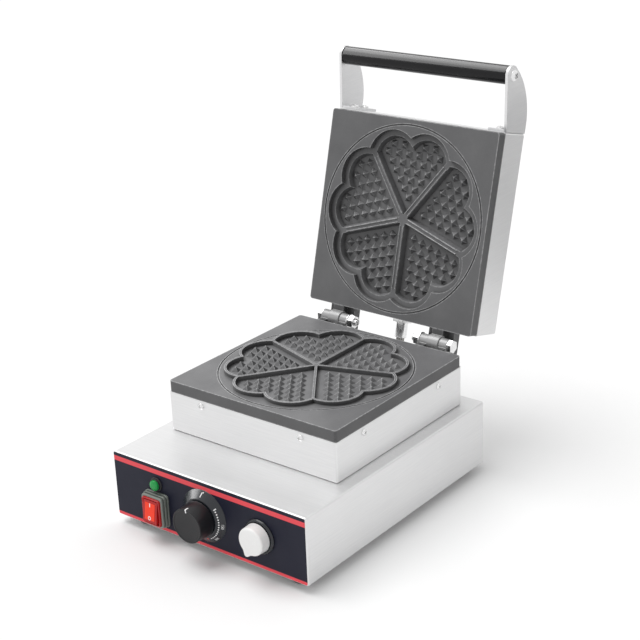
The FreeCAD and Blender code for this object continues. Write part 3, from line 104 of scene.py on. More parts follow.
def node_tree(owner):
    owner.use_nodes = True
    owner.node_tree.nodes.clear()
    return owner.node_tree


def join(tree, source, target):
    tree.links.new(source, target)


def feed(tree, value, socket):
    """A plain number sets the socket; anything else is joined to it."""
    if isinstance(value, (int, float)):
        socket.default_value = value
    else:
        join(tree, value, socket)


def maths(tree, operation, first, second):
    item = tree.nodes.new("ShaderNodeMath")
    item.operation = operation
    feed(tree, first, item.inputs[0])
    feed(tree, second, item.inputs[1])
    return item.outputs[0]


def spread(tree, value, low, high, to_low, to_high):
    item = tree.nodes.new("ShaderNodeMapRange")
    join(tree, value, item.inputs["Value"])
    for label, number in (("From Min", low), ("From Max", high), ("To Min", to_low), ("To Max", to_high)):
        feed(tree, number, item.inputs[label])
    return item.outputs["Result"]


sky = bpy.data.worlds.new("sky")
scene.world = sky
tree = node_tree(sky)
rays = tree.nodes.new("ShaderNodeLightPath").outputs
mirrored = maths(tree, "MAXIMUM", rays["Is Glossy Ray"], rays["Is Transmission Ray"])
seen = maths(tree, "MAXIMUM", rays["Is Camera Ray"], mirrored)
background = tree.nodes.new("ShaderNodeBackground")
background.inputs["Color"].default_value = (1, 1, 1, 1)
join(tree, spread(tree, seen, 0, 1, SKY_LEVEL, 1), background.inputs["Strength"])
world_output = tree.nodes.new("ShaderNodeOutputWorld")
join(tree, background.outputs[0], world_output.inputs["Surface"])
print("sky level on the object:", SKY_LEVEL)

# %% [markdown]
# Product light: a wide soft sun almost overhead, and a lamp from the left that is linked to the cast
# plates alone, where it draws the pyramids. That lamp is hidden from mirror rays, because its highlights
# burn out when the plates are seen from low down. One long softbox shows only in gloss, so that the black
# grip gets its crisp light half and the dial its sheen.

# %% Lamps
SUN_STRENGTH = 1.5
SUN_SOFTNESS = math.radians(45)
SUN_FROM = Vector((-0.34, -0.10, 0.93))
PLATE_KEY_STRENGTH = 7.5
PLATE_KEY_SOFTNESS = math.radians(24)
PLATE_KEY_FROM = Vector((-0.66, -0.10, 0.74))
SOFTBOX_POWER = 240
SOFTBOX_SIZE = (2.4, 4.4)
SOFTBOX_FROM = Vector((-0.58, -0.10, 0.81))
SOFTBOX_AIM = Vector((0, 0.19, 0.42))
SOFTBOX_DISTANCE = 1.5


def aim(item, comes_from):
    item.rotation_mode = "QUATERNION"
    item.rotation_quaternion = (-comes_from).to_track_quat("-Z", "Y")


def sun_lamp(name, strength, softness, comes_from):
    lamp = add(name, bpy.data.lights.new(name, "SUN"))
    lamp.data.energy = strength
    lamp.data.angle = softness
    aim(lamp, comes_from)
    return lamp


def light_only(lamp, name, *solids):
    """Links a lamp to a group of solids, which later pieces can join."""
    group = bpy.data.collections.new(name)
    lamp.light_linking.receiver_collection = group
    for solid in solids:
        group.objects.link(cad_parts[solid])
    return group


sun_lamp("overhead_sun", SUN_STRENGTH, SUN_SOFTNESS, SUN_FROM)
plate_key = sun_lamp("plate_key", PLATE_KEY_STRENGTH, PLATE_KEY_SOFTNESS, PLATE_KEY_FROM)
plate_key.visible_glossy = False
plates_only = light_only(plate_key, "plates_only", "lower_plate", "upper_plate")

softbox = add("gloss_softbox", bpy.data.lights.new("gloss_softbox", "AREA"))
softbox.data.shape = "RECTANGLE"
softbox.data.size, softbox.data.size_y = SOFTBOX_SIZE
softbox.data.energy = SOFTBOX_POWER
softbox.location = SOFTBOX_AIM + SOFTBOX_FROM * SOFTBOX_DISTANCE
aim(softbox, SOFTBOX_FROM)
softbox.visible_diffuse = False
softbox.visible_camera = False
gloss_only = light_only(softbox, "gloss_only", "thermostat_dial")

# %% [markdown]
# The floor is white paper that keeps the shadow. A grey card stands behind and to the right, unseen by
# the lens, so that the steel on that side mirrors something darker, as flags do in a studio.

# %% Floor and grey card
FLOOR_REACH = 6
PAPER_WHITE = 0.98
CARD_GREY = 0.56
CARD_FOOT = 0.001
CARD_TOP = 0.32
CARD_NEAR = (0.75, 0.3)
CARD_FAR = (0.25, 0.7)


def matt_sheet(name, corners, material_name, grey):
    mesh = bpy.data.meshes.new(name)
    mesh.from_pydata(corners, [], [(0, 1, 2, 3)])
    item = add(name, mesh)
    material = bpy.data.materials.new(material_name)
    tree = node_tree(material)
    matt = tree.nodes.new("ShaderNodeBsdfDiffuse")
    matt.inputs["Color"].default_value = (grey, grey, grey, 1)
    output = tree.nodes.new("ShaderNodeOutputMaterial")
    join(tree, matt.outputs[0], output.inputs["Surface"])
    mesh.materials.append(material)
    return item


floor_corners = [(x * FLOOR_REACH, y * FLOOR_REACH, 0) for x, y in ((-1, -1), (1, -1), (1, 1), (-1, 1))]
floor = matt_sheet("floor", floor_corners, "white_paper", PAPER_WHITE)
card_foot = [(*edge, CARD_FOOT) for edge in (CARD_NEAR, CARD_FAR)]
card_top = [(*edge, CARD_TOP) for edge in (CARD_FAR, CARD_NEAR)]
flag = matt_sheet("grey_flag", card_foot + card_top, "grey_card", CARD_GREY)
flag.visible_camera = False
flag.visible_diffuse = False
flag.visible_shadow = False
print("stage:", floor.name, flag.name)

# %% [markdown]
# Effects that several finishes share are node groups. Short helpers keep their wiring readable: each
# makes one node, joins what goes in and returns what comes out.

# %% Node helpers


def effect(name, inputs, outputs):
    """A new shader node group with named sockets, and its inner input and output nodes."""
    group = bpy.data.node_groups.new(name, "ShaderNodeTree")
    for label, kind, value in inputs:
        socket = group.interface.new_socket(label, in_out="INPUT", socket_type=f"NodeSocket{kind}")
        socket.default_value = value
    for label, kind in outputs:
        group.interface.new_socket(label, in_out="OUTPUT", socket_type=f"NodeSocket{kind}")
    return group, group.nodes.new("NodeGroupInput"), group.nodes.new("NodeGroupOutput")


def object_place(tree):
    return tree.nodes.new("ShaderNodeTexCoord").outputs["Object"]


def separated(tree, vector):
    item = tree.nodes.new("ShaderNodeSeparateXYZ")
    join(tree, vector, item.inputs[0])
    return item.outputs


def noise(tree, coordinates, scale, detail, roughness):
    item = tree.nodes.new("ShaderNodeTexNoise")
    item.inputs["Detail"].default_value = detail
    item.inputs["Roughness"].default_value = roughness
    join(tree, coordinates, item.inputs["Vector"])
    feed(tree, scale, item.inputs["Scale"])
    return item.outputs["Fac"]


def weighted(tree, first, share, second):
    """This share of the first value, and the rest of the second."""
    rest = maths(tree, "MULTIPLY", second, 1 - share)
    return maths(tree, "ADD", maths(tree, "MULTIPLY", first, share), rest)


def tint(tree, factor, first, second):
    item = tree.nodes.new("ShaderNodeMix")
    item.data_type = "RGBA"
    join(tree, factor, item.inputs["Factor"])
    for socket, value in zip((item.inputs[6], item.inputs[7]), (first, second)):
        if isinstance(value, tuple):
            socket.default_value = (*value, 1)
        else:
            join(tree, value, socket)
    return item.outputs[2]


def stretched(tree, coordinates, shape):
    item = tree.nodes.new("ShaderNodeVectorMath")
    item.operation = "MULTIPLY"
    join(tree, coordinates, item.inputs[0])
    item.inputs[1].default_value = shape
    return item.outputs[0]


print("node helpers ready")

# %% [markdown]
# Brushed grain stretches noise along the rolling direction of the sheet, which runs across the machine
# except on its sides. Mottle is the cloudy change of a cast or moulded skin. Both give a colour, a
# roughness and a height.

# %% Brushed grain and mottle
SKIN_OUTPUTS = [("Color", "Color"), ("Roughness", "Float"), ("Height", "Float")]
GRAIN_SQUEEZE = 0.02
SHEET_CLOUDS = 9


def skin_outputs(group, inside, outside, value, limits, colours, height):
    """Joins a group's outputs: colour and roughness follow a value between two limits."""
    first, second = (inside.outputs[label] for label in colours)
    join(group, tint(group, spread(group, value, *limits, 0, 1), first, second), outside.inputs["Color"])
    swing = spread(group, value, *limits, -0.5, 0.5)
    change = maths(group, "MULTIPLY", swing, inside.outputs["Roughness Spread"])
    join(group, maths(group, "ADD", inside.outputs["Roughness"], change), outside.inputs["Roughness"])
    join(group, height, outside.inputs["Height"])


brushed, inside, outside = effect(
    "brushed_grain",
    [("Light", "Color", (0.8, 0.8, 0.8, 1)), ("Dark", "Color", (0.7, 0.7, 0.7, 1)),
     ("Roughness", "Float", 0.35), ("Roughness Spread", "Float", 0.1), ("Lines per Metre", "Float", 900)],
    SKIN_OUTPUTS)
where = object_place(brushed)
facing = separated(brushed, brushed.nodes.new("ShaderNodeNewGeometry").outputs["Normal"])
sideways = spread(brushed, maths(brushed, "ABSOLUTE", facing["X"], 0), 0.6, 0.8, 0, 1)
fineness = inside.outputs["Lines per Metre"]
across = noise(brushed, stretched(brushed, where, (GRAIN_SQUEEZE, 1, 1)), fineness, 3, 0.7)
along = noise(brushed, stretched(brushed, where, (1, GRAIN_SQUEEZE, 1)), fineness, 3, 0.7)
lines = spread(brushed, sideways, 0, 1, across, along)
grain = weighted(brushed, lines, 0.75, noise(brushed, where, SHEET_CLOUDS, 3, 0.55))
skin_outputs(brushed, inside, outside, grain, (0.3, 0.7), ("Dark", "Light"), lines)

mottle, inside, outside = effect(
    "mottle",
    [("First", "Color", (0.5, 0.5, 0.5, 1)), ("Second", "Color", (0.4, 0.4, 0.4, 1)),
     ("Roughness", "Float", 0.4), ("Roughness Spread", "Float", 0.1),
     ("Cloud Scale", "Float", 40), ("Grain Scale", "Float", 1500)],
    SKIN_OUTPUTS)
where = object_place(mottle)
clouds = noise(mottle, where, inside.outputs["Cloud Scale"], 5, 0.6)
specks = noise(mottle, where, inside.outputs["Grain Scale"], 2, 0.5)
skin = weighted(mottle, clouds, 0.6, specks)
skin_outputs(mottle, inside, outside, skin, (0.35, 0.65), ("First", "Second"), specks)
print("skins:", brushed.name, mottle.name)

# %% [markdown]
# Edge wear looks about a millimetre inwards and finds convex edges, where handling polishes a finish;
# the same mask also paints highlights along them, and noise breaks it up. Crevice shade looks outwards
# and finds corners and grooves, where finishes paint shade. Each gives a mask.

# %% Edge wear with painted highlight, and crevice shade
OCCLUSION_SAMPLES = 6


def occlusion(group, reach, inwards):
    item = group.nodes.new("ShaderNodeAmbientOcclusion")
    item.inside = inwards
    item.only_local = True
    item.samples = OCCLUSION_SAMPLES
    join(group, reach, item.inputs["Distance"])
    return item.outputs["AO"]


# Mask of convex edges, for wear and for painted highlight.
wear_and_highlight, inside, outside = effect(
    "edge_wear_and_highlight", [("Reach", "Float", 0.001), ("Break-up", "Float", 0.4)], [("Mask", "Float")])
edges = spread(wear_and_highlight, occlusion(wear_and_highlight, inside.outputs["Reach"], True), 0.96, 0.6, 0, 1)
patches = spread(wear_and_highlight, noise(wear_and_highlight, object_place(wear_and_highlight), 260, 3, 0.6), 0.4, 0.6, 1, 0)
gaps = maths(wear_and_highlight, "MULTIPLY", patches, inside.outputs["Break-up"])
worn_and_highlit_edges = maths(wear_and_highlight, "SUBTRACT", edges, gaps)
worn_and_highlit_edges.node.use_clamp = True
join(wear_and_highlight, worn_and_highlit_edges, outside.inputs["Mask"])

# Mask of corners and grooves, for painted shade.
crevice_shade, inside, outside = effect("crevice_shade", [("Reach", "Float", 0.004)], [("Mask", "Float")])
hollows = spread(crevice_shade, occlusion(crevice_shade, inside.outputs["Reach"], False), 0.25, 0.9, 1, 0)
join(crevice_shade, hollows, outside.inputs["Mask"])


def mask(tree, group, reach):
    item = tree.nodes.new("ShaderNodeGroup")
    item.node_tree = group
    item.inputs["Reach"].default_value = reach
    return item.outputs["Mask"]


print("effects:", [group.name for group in bpy.data.node_groups])

# %% [markdown]
# Each finish is one material. The constant numbers sit on the shader's own sockets, and only what changes
# over the surface comes from a group: colour, roughness and a fine bump. The layered helper also hands
# back what a further layer of nodes needs, and the finish helper is for the plain case. Metals come
# first.

# %% Metal finishes


def bump_from(tree, shader, height, strength, distance):
    item = tree.nodes.new("ShaderNodeBump")
    item.inputs["Strength"].default_value = strength
    item.inputs["Distance"].default_value = distance
    join(tree, height, item.inputs["Height"])
    join(tree, item.outputs[0], shader.inputs["Normal"])


def layered(name, recipe, bump=None, **sockets):
    """A material on a Principled shader, whose skin group drives its colour and roughness."""
    skin, values = recipe
    material = bpy.data.materials.new(name)
    tree = node_tree(material)
    shader = tree.nodes.new("ShaderNodeBsdfPrincipled")
    output = tree.nodes.new("ShaderNodeOutputMaterial")
    join(tree, shader.outputs[0], output.inputs["Surface"])
    for label, value in sockets.items():
        shader.inputs[label.replace("_", " ")].default_value = value
    surface = tree.nodes.new("ShaderNodeGroup")
    surface.node_tree = skin
    for label, value in values.items():
        surface.inputs[label].default_value = (*value, 1) if isinstance(value, tuple) else value
    join(tree, surface.outputs["Color"], shader.inputs["Base Color"])
    join(tree, surface.outputs["Roughness"], shader.inputs["Roughness"])
    if bump:
        bump_from(tree, shader, surface.outputs["Height"], *bump)
    return material, tree, shader, surface


def finish(name, recipe, **settings):
    return layered(name, recipe, **settings)[0]


def grained(light, dark, roughness, change, lines):
    """The brushed group with its settings; lines are noise cells per metre."""
    return brushed, {"Light": light, "Dark": dark, "Roughness": roughness, "Roughness Spread": change,
                     "Lines per Metre": lines}


def mottled(first, second, roughness, change=0.1, clouds=60, specks=2600):
    """The mottle group with its settings; clouds and specks are noise cells per metre."""
    return mottle, {"First": first, "Second": second, "Roughness": roughness, "Roughness Spread": change,
                    "Cloud Scale": clouds, "Grain Scale": specks}


satin_steel = finish(
    "satin_steel", grained((0.80, 0.80, 0.80), (0.72, 0.72, 0.725), 0.42, 0.10, 1300),
    bump=(0.05, 0.00005), Metallic=1.0)
bracket_steel = finish(
    "bracket_steel", grained((0.78, 0.78, 0.78), (0.69, 0.69, 0.70), 0.36, 0.12, 1800),
    bump=(0.05, 0.00005), Metallic=1.0)
bright_zinc = finish(
    "bright_zinc",
    mottled((0.86, 0.86, 0.85), (0.72, 0.72, 0.73), 0.22, change=0.12, clouds=300, specks=3000),
    bump=(0.04, 0.00004), Metallic=1.0)
dull_steel = finish(
    "dull_steel",
    mottled((0.42, 0.41, 0.40), (0.30, 0.29, 0.28), 0.5, change=0.2, clouds=120, specks=1800),
    bump=(0.08, 0.0002), Metallic=1.0)
copper = finish(
    "capillary_copper",
    mottled((0.72, 0.36, 0.22), (0.55, 0.26, 0.16), 0.35, change=0.15, clouds=90, specks=2000),
    bump=(0.05, 0.0002), Metallic=1.0)
print("metals:", [item.name for item in (satin_steel, bracket_steel, bright_zinc, dull_steel, copper)])

# %% [markdown]
# Plastics differ mostly in gloss: the grip and the lenses are smooth, the cases are matt. A thin clear
# coat adds a second sheen to the dial and the red frame. The boot is silicone, and painted shade darkens
# its grooves.

# %% Plastics, rubber and inks
# Painted shade for the boot's grooves: its colour and reach.
BOOT_GROOVE_SHADE = (0.02, 0.022, 0.02)
BOOT_GROOVE_SHADE_REACH = 0.0016

case_plastic = finish(
    "case_plastic", mottled((0.035, 0.035, 0.037), (0.025, 0.025, 0.026), 0.55, specks=2200),
    bump=(0.1, 0.0002))
cream_plastic = finish(
    "terminal_plastic", mottled((0.62, 0.57, 0.46), (0.56, 0.51, 0.41), 0.5, specks=2200),
    bump=(0.08, 0.0002))
knob_plastic = finish(
    "knob_plastic", mottled((0.014, 0.014, 0.016), (0.010, 0.010, 0.012), 0.34, change=0.08),
    bump=(0.12, 0.00006), Specular_IOR_Level=0.34)
dial_plastic = finish(
    "dial_plastic", mottled((0.016, 0.019, 0.025), (0.011, 0.013, 0.018), 0.24, change=0.08),
    bump=(0.06, 0.00005), Specular_IOR_Level=0.4, Coat_Weight=0.2, Coat_Roughness=0.22)
white_plastic = finish(
    "timer_white",
    mottled((0.93, 0.93, 0.92), (0.90, 0.90, 0.89), 0.26, change=0.06, clouds=50, specks=2400),
    bump=(0.04, 0.00005))
red_plastic = finish(
    "switch_red", mottled((0.50, 0.010, 0.012), (0.42, 0.008, 0.010), 0.2, change=0.06, clouds=80),
    bump=(0.04, 0.00005), Specular_IOR_Level=0.3, Coat_Weight=0.15, Coat_Roughness=0.08)
lamp_red = finish(
    "rocker_orange_red",
    mottled((0.90, 0.055, 0.022), (0.82, 0.042, 0.018), 0.2, change=0.06, clouds=120),
    bump=(0.04, 0.00005), Specular_IOR_Level=0.22,
    Emission_Color=(0.9, 0.06, 0.015, 1), Emission_Strength=0.12)
silicone, tree, shader, rubber_skin = layered(
    "boot_silicone",
    mottled((0.25, 0.275, 0.25), (0.19, 0.21, 0.19), 0.42, change=0.12, clouds=110, specks=1800),
    bump=(0.08, 0.0001))
# The boot's grooves darken with painted shade.
groove_shade = mask(tree, crevice_shade, BOOT_GROOVE_SHADE_REACH)
join(tree, tint(tree, groove_shade, rubber_skin.outputs["Color"], BOOT_GROOVE_SHADE), shader.inputs["Base Color"])
green_glass = finish(
    "lamp_green", mottled((0.012, 0.34, 0.075), (0.008, 0.25, 0.05), 0.1, change=0.05, clouds=400),
    bump=(0.03, 0.00005), Specular_IOR_Level=0.35,
    Emission_Color=(0.01, 0.4, 0.08, 1), Emission_Strength=0.06)
rubber = finish(
    "foot_rubber",
    mottled((0.022, 0.022, 0.022), (0.014, 0.014, 0.014), 0.7, change=0.12, clouds=80, specks=1500),
    bump=(0.2, 0.0002))
grip_gloss = finish(
    "grip_gloss",
    mottled((0.010, 0.010, 0.011), (0.007, 0.007, 0.008), 0.16, change=0.05, clouds=45, specks=500),
    bump=(0.02, 0.0001), Specular_IOR_Level=0.22)
white_ink = finish(
    "white_ink", mottled((0.95, 0.95, 0.95), (0.88, 0.88, 0.88), 0.5, clouds=500, specks=4000),
    bump=(0.05, 0.00003))
red_ink = finish(
    "red_ink", mottled((0.80, 0.05, 0.04), (0.70, 0.04, 0.03), 0.5, clouds=500, specks=4000),
    bump=(0.05, 0.00003))
print("materials so far:", len(bpy.data.materials))

# %% [markdown]
# The cast plates carry a dark grey non-stick coat with a fine grain. Where the castings were machined for
# the hinge bolts, round the hinge axis, bare metal shows. Along its convex edges the coat is lighter, partly
# rubbed and partly painted highlight, and in its corners it is darker, partly dirt and partly painted
# shade. The distance from the hinge axis gives the machined mask.

# %% Cast plate coat
HINGE = Vector((0, 0.1076, 0.1385))
KNUCKLE_REACH = 0.0088
KNUCKLE_BLUR = 0.0002
BARE_METAL = (0.42, 0.42, 0.422)
# Corner colour: partly dirt, partly painted shade.
DIRT_AND_SHADE = (0.018, 0.017, 0.016)
DIRT_AND_SHADE_REACH = 0.005
DIRT_AND_SHADE_SHARE = 0.7
# Edge colour: partly rubbed coat, partly painted highlight.
RUBBED_AND_HIGHLIT = (0.42, 0.42, 0.425)
RUB_AND_HIGHLIGHT_REACH = 0.0012
RUB_AND_HIGHLIGHT_SHARE = 0.6

plate_coat, tree, shader, coat_skin = layered(
    "plate_coat", mottled((0.092, 0.092, 0.094), (0.070, 0.070, 0.072), 0.36, clouds=30),
    bump=(0.25, 0.00012), Metallic=0.25)
place = separated(tree, object_place(tree))
off_y = maths(tree, "SUBTRACT", place["Y"], HINGE.y)
off_z = maths(tree, "SUBTRACT", place["Z"], HINGE.z)
squares = maths(tree, "ADD", maths(tree, "POWER", off_y, 2), maths(tree, "POWER", off_z, 2))
from_axis = maths(tree, "SQRT", squares, 0)
machined = spread(tree, from_axis, KNUCKLE_REACH, KNUCKLE_REACH + KNUCKLE_BLUR, 1, 0)
bare = tint(tree, machined, coat_skin.outputs["Color"], BARE_METAL)
# Corners darken, partly dirt and partly painted shade; convex edges lighten, partly rubbed and partly painted
# highlight.
dirt_and_shade_share = maths(tree, "MULTIPLY", mask(tree, crevice_shade, DIRT_AND_SHADE_REACH), DIRT_AND_SHADE_SHARE)
rub_and_highlight_share = maths(tree, "MULTIPLY", mask(tree, wear_and_highlight, RUB_AND_HIGHLIGHT_REACH), RUB_AND_HIGHLIGHT_SHARE)
dirty_and_shaded = tint(tree, dirt_and_shade_share, bare, DIRT_AND_SHADE)
join(tree, tint(tree, rub_and_highlight_share, dirty_and_shaded, RUBBED_AND_HIGHLIT), shader.inputs["Base Color"])
print("coat:", plate_coat.name)

# %% [markdown]
# The front film is one printed sheet: a dark field between two red stripes, with a dark band above the
# upper stripe. Height above the table chooses the ink, so the print needs no picture.

# %% Printed front film
STRIPE_TOP = (0.0727, 0.0780)
STRIPE_LOW = (0.0, 0.0139)
STRIPE_BLUR = 0.00012
STRIPE_RED = (0.84, 0.085, 0.105)

film_print, tree, shader, field = layered(
    "film_print", mottled((0.013, 0.014, 0.029), (0.010, 0.011, 0.024), 0.46, change=0.08, clouds=40),
    bump=(0.05, 0.00004), Specular_IOR_Level=0.2)
level = separated(tree, object_place(tree))["Z"]
masks = []
for low, high in (STRIPE_TOP, STRIPE_LOW):
    above = spread(tree, level, low - STRIPE_BLUR, low + STRIPE_BLUR, 0, 1)
    below = spread(tree, level, high - STRIPE_BLUR, high + STRIPE_BLUR, 1, 0)
    masks.append(maths(tree, "MULTIPLY", above, below))
stripes = maths(tree, "MAXIMUM", *masks)
join(tree, tint(tree, stripes, field.outputs["Color"], STRIPE_RED), shader.inputs["Base Color"])
print("film:", film_print.name)

# %% [markdown]
# The sleeve over the lid's leads is woven glass yarn: two slanted families of ribs that cross. Waves run
# along the tube's own unwrapped coordinates, so the weave follows every bend. The low parts between the
# ribs are darkened with painted shade.

# %% Woven sleeve
RIBS_PER_METRE = 130
RIBS_ROUND = 12
YARN_SHADE = (0.30, 0.295, 0.28)

sleeve_weave, tree, shader, yarn = layered(
    "sleeve_weave", mottled((0.62, 0.61, 0.58), (0.52, 0.51, 0.48), 0.7, clouds=200, specks=2500))
weave_place = tree.nodes.new("ShaderNodeUVMap").outputs[0]
ribs = []
for lean in (1, -1):
    slant = tree.nodes.new("ShaderNodeVectorMath")
    slant.operation = "DOT_PRODUCT"
    join(tree, weave_place, slant.inputs[0])
    slant.inputs[1].default_value = (RIBS_PER_METRE * math.tau, lean * RIBS_ROUND * math.tau, 0)
    ribs.append(maths(tree, "SINE", slant.outputs["Value"], 0))
yarn_height = maths(tree, "MAXIMUM", *ribs)
bump_from(tree, shader, yarn_height, 0.6, 0.0004)
# Painted shade in the low parts of the weave.
shade = spread(tree, yarn_height, -0.2, 1, 0, 1)
join(tree, tint(tree, shade, YARN_SHADE, yarn.outputs["Color"]), shader.inputs["Base Color"])
print("sleeve:", sleeve_weave.name)

# %% [markdown]
# Every solid gets its finish, also those inside, so that an opened or cut model still looks right. Groups
# of names that come up again are kept as values.

# %% Dress the solids
CASTINGS = ("lower_plate", "upper_plate", "hinge_ears", "hinge_tongues")
BRACKETS = ("handle_bracket_left", "handle_bracket_right")
HINGE_HARDWARE = ("hinge_bolts", "hinge_nuts", "hinge_washers")
SLEEVE_GLANDS = ("sleeve_gland_base", "sleeve_gland_lid")
FEET = ("foot_front_left", "foot_front_right", "foot_rear_left", "foot_rear_right")


def dress(finish_of, *names):
    for name in names:
        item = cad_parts[name]
        item.data.materials.clear()
        item.data.materials.append(finish_of)


dress(satin_steel, "base_housing", "lower_housing", "upper_housing", "bottom_plate")
dress(bracket_steel, *BRACKETS)
dress(plate_coat, *CASTINGS)
dress(film_print, "panel_overlay")
dress(bright_zinc, *HINGE_HARDWARE, *SLEEVE_GLANDS, "tie_bolts", "tie_nuts", "foot_screws",
      "lower_clamp_screws", "upper_clamp_screws", "handle_rod", "rocker_pin", "thermostat_shaft",
      "timer_shaft", "mains_gland_nut", "sleeve_nut_base", "sleeve_nut_lid", "pilot_nut",
      "handle_bracket_screws", "lower_housing_screws", "upper_housing_screws", "handle_end_caps")
dress(dull_steel, "lower_heater", "upper_heater", "lower_heater_clamp", "upper_heater_clamp",
      "thermostat_bulb")
dress(copper, "thermostat_capillary")
dress(case_plastic, "thermostat_body", "timer_body", "switch_body", "pilot_body", "mains_gland")
dress(cream_plastic, "terminal_block")
dress(knob_plastic, "thermostat_knob", "timer_bezel")
dress(dial_plastic, "thermostat_dial")
dress(white_plastic, "timer_knob")
dress(red_plastic, "switch_frame", "rocker")
dress(lamp_red, "rocker_lens")
dress(silicone, "switch_boot")
dress(green_glass, "pilot_lens")
dress(rubber, *FEET)
dress(grip_gloss, "handle_grip")
dress(sleeve_weave, "lead_sleeve")
print("dressed:", sum(1 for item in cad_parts.values() if item.data.materials))

# %% [markdown]
# Solids from CAD have knife edges, and real sheet and castings don't. Modifiers soften them without
# touching the solid: weld the split corners, melt flat triangles together, bevel what is sharper than the
# limit, and weigh the normals so that flats stay flat.

# %% Soften the solids
WELD_REACH = 0.000002
FLAT_LIMIT = math.radians(0.6)
BEVEL_LIMIT = math.radians(32)
NORMAL_WEIGHT = 80


def soften(node, width, segments):
    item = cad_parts[node]
    imported = item.data.attributes.get("custom_normal")
    if imported:
        item.data.attributes.remove(imported)
    item.data.polygons.foreach_set("use_smooth", [True] * len(item.data.polygons))
    item.data.edges.foreach_set("use_edge_sharp", [False] * len(item.data.edges))
    weld = item.modifiers.new("weld", "WELD")
    weld.merge_threshold = WELD_REACH
    melt = item.modifiers.new("melt", "DECIMATE")
    melt.decimate_type = "DISSOLVE"
    melt.angle_limit = FLAT_LIMIT
    bevel = item.modifiers.new("bevel", "BEVEL")
    bevel.width = width
    bevel.segments = segments
    bevel.limit_method = "ANGLE"
    bevel.angle_limit = BEVEL_LIMIT
    bevel.use_clamp_overlap = True
    weigh = item.modifiers.new("weigh", "WEIGHTED_NORMAL")
    weigh.keep_sharp = False
    weigh.weight = NORMAL_WEIGHT


for names, width, segments in (
    (CASTINGS, 0.0004, 2),
    (("lower_housing", "upper_housing"), 0.0007, 3),
    (("base_housing",), 0.0004, 2),
    (BRACKETS, 0.0005, 2),
    ((*HINGE_HARDWARE, "mains_gland", *SLEEVE_GLANDS), 0.0005, 2),
    (("rocker", "rocker_lens"), 0.0003, 3),
    (("thermostat_dial",), 0.0007, 3),
    (FEET, 0.0009, 3),
    (("pilot_body", "terminal_block", "thermostat_body", "timer_body", "switch_body"), 0.0004, 2),
):
    for name in names:
        soften(name, width, segments)
print("softened:", sum(1 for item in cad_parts.values() if item.modifiers))

# %% [markdown]
# Knobs, lamps, screws and grips are turned shapes. A profile of radius and distance pairs, in
# millimetres, is spun round an axis, and its corners are rounded first, because moulded and turned edges
# always have a small radius.

# %% Turning tools


def rounded(corners, steps=5):
    """A profile from (radius, distance, fillet) corners, each rounded by its fillet."""
    points = []
    for n, (radius, distance, fillet) in enumerate(corners):
        here = Vector((radius, distance))
        if not fillet:
            points.append((radius, distance))
            continue
        before = (Vector(corners[n - 1][:2]) - here).normalized()
        after = (Vector(corners[n + 1][:2]) - here).normalized()
        reach = fillet / math.tan(before.angle(after) / 2)
        start = here + before * reach
        end = here + after * reach
        for step in range(steps + 1):
            t = step / steps
            points.append(tuple(start * (1 - t) ** 2 + here * 2 * t * (1 - t) + end * t ** 2))
    return points


def shape(name, work, material, sharp=38):
    """An object from a bmesh, smooth up to the sharp angle."""
    mesh = bpy.data.meshes.new(name)
    bmesh.ops.recalc_face_normals(work, faces=work.faces)
    work.to_mesh(mesh)
    work.free()
    mesh.shade_smooth()
    mesh.set_sharp_from_angle(angle=math.radians(sharp))
    mesh.materials.append(material)
    return add(name, mesh)


def turned(work, profile, centre, forward, steps=64):
    """Adds to a bmesh a profile spun round an axis through centre, in millimetres."""
    axis = Vector(forward).normalized()
    side = axis.orthogonal().normalized()
    other = axis.cross(side)
    rings = []
    for radius, distance in profile:
        middle = (Vector(centre) + axis * distance) * MM
        turns = [math.tau * n / steps for n in range(steps)] if radius else [0]
        rings.append([work.verts.new(middle + (side * math.cos(a) + other * math.sin(a)) * radius * MM)
                      for a in turns])
    for first, second in zip(rings, rings[1:]):
        for n in range(steps):
            corners = (first[n % len(first)], first[(n + 1) % len(first)],
                       second[(n + 1) % len(second)], second[n % len(second)])
            work.faces.new(list(dict.fromkeys(corners)))


def turn(name, profile, centre, forward, material, steps=64):
    work = bmesh.new()
    turned(work, profile, centre, forward, steps)
    return shape(name, work, material)


def fit(item, body, slot, *nodes):
    """The piece moves with a body and stands for these solids; its slot is not used."""
    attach(item, body)
    if nodes:
        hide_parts(*nodes)


FRONT = Vector((0, -1, 0))
print("turning tools ready")

# %% [markdown]
# The thermostat knob is a plain black barrel. Its face lies a little below a thin rim, which catches the
# light as a fine bright arc. A white paint line runs over the top of the rim and shows where the knob
# points; it follows the same profile, lifted by less than a tenth of a millimetre.

# %% Thermostat knob
KNOB_BACK = (-3, -202.8, 45.5)
knob_profile = rounded([
    (3.1, 0, 0), (18.5, 0, 0), (19.0, 0.6, 0.4), (18.3, 19.0, 0.7), (16.9, 19.0, 0.25), (16.4, 18.55, 0.25),
    (0, 18.4, 0),
])
knob = turn("thermostat_grip", knob_profile, KNOB_BACK, FRONT, knob_plastic, 96)
fit(knob, "thermostat_knob", "black_plastic", "thermostat_knob")

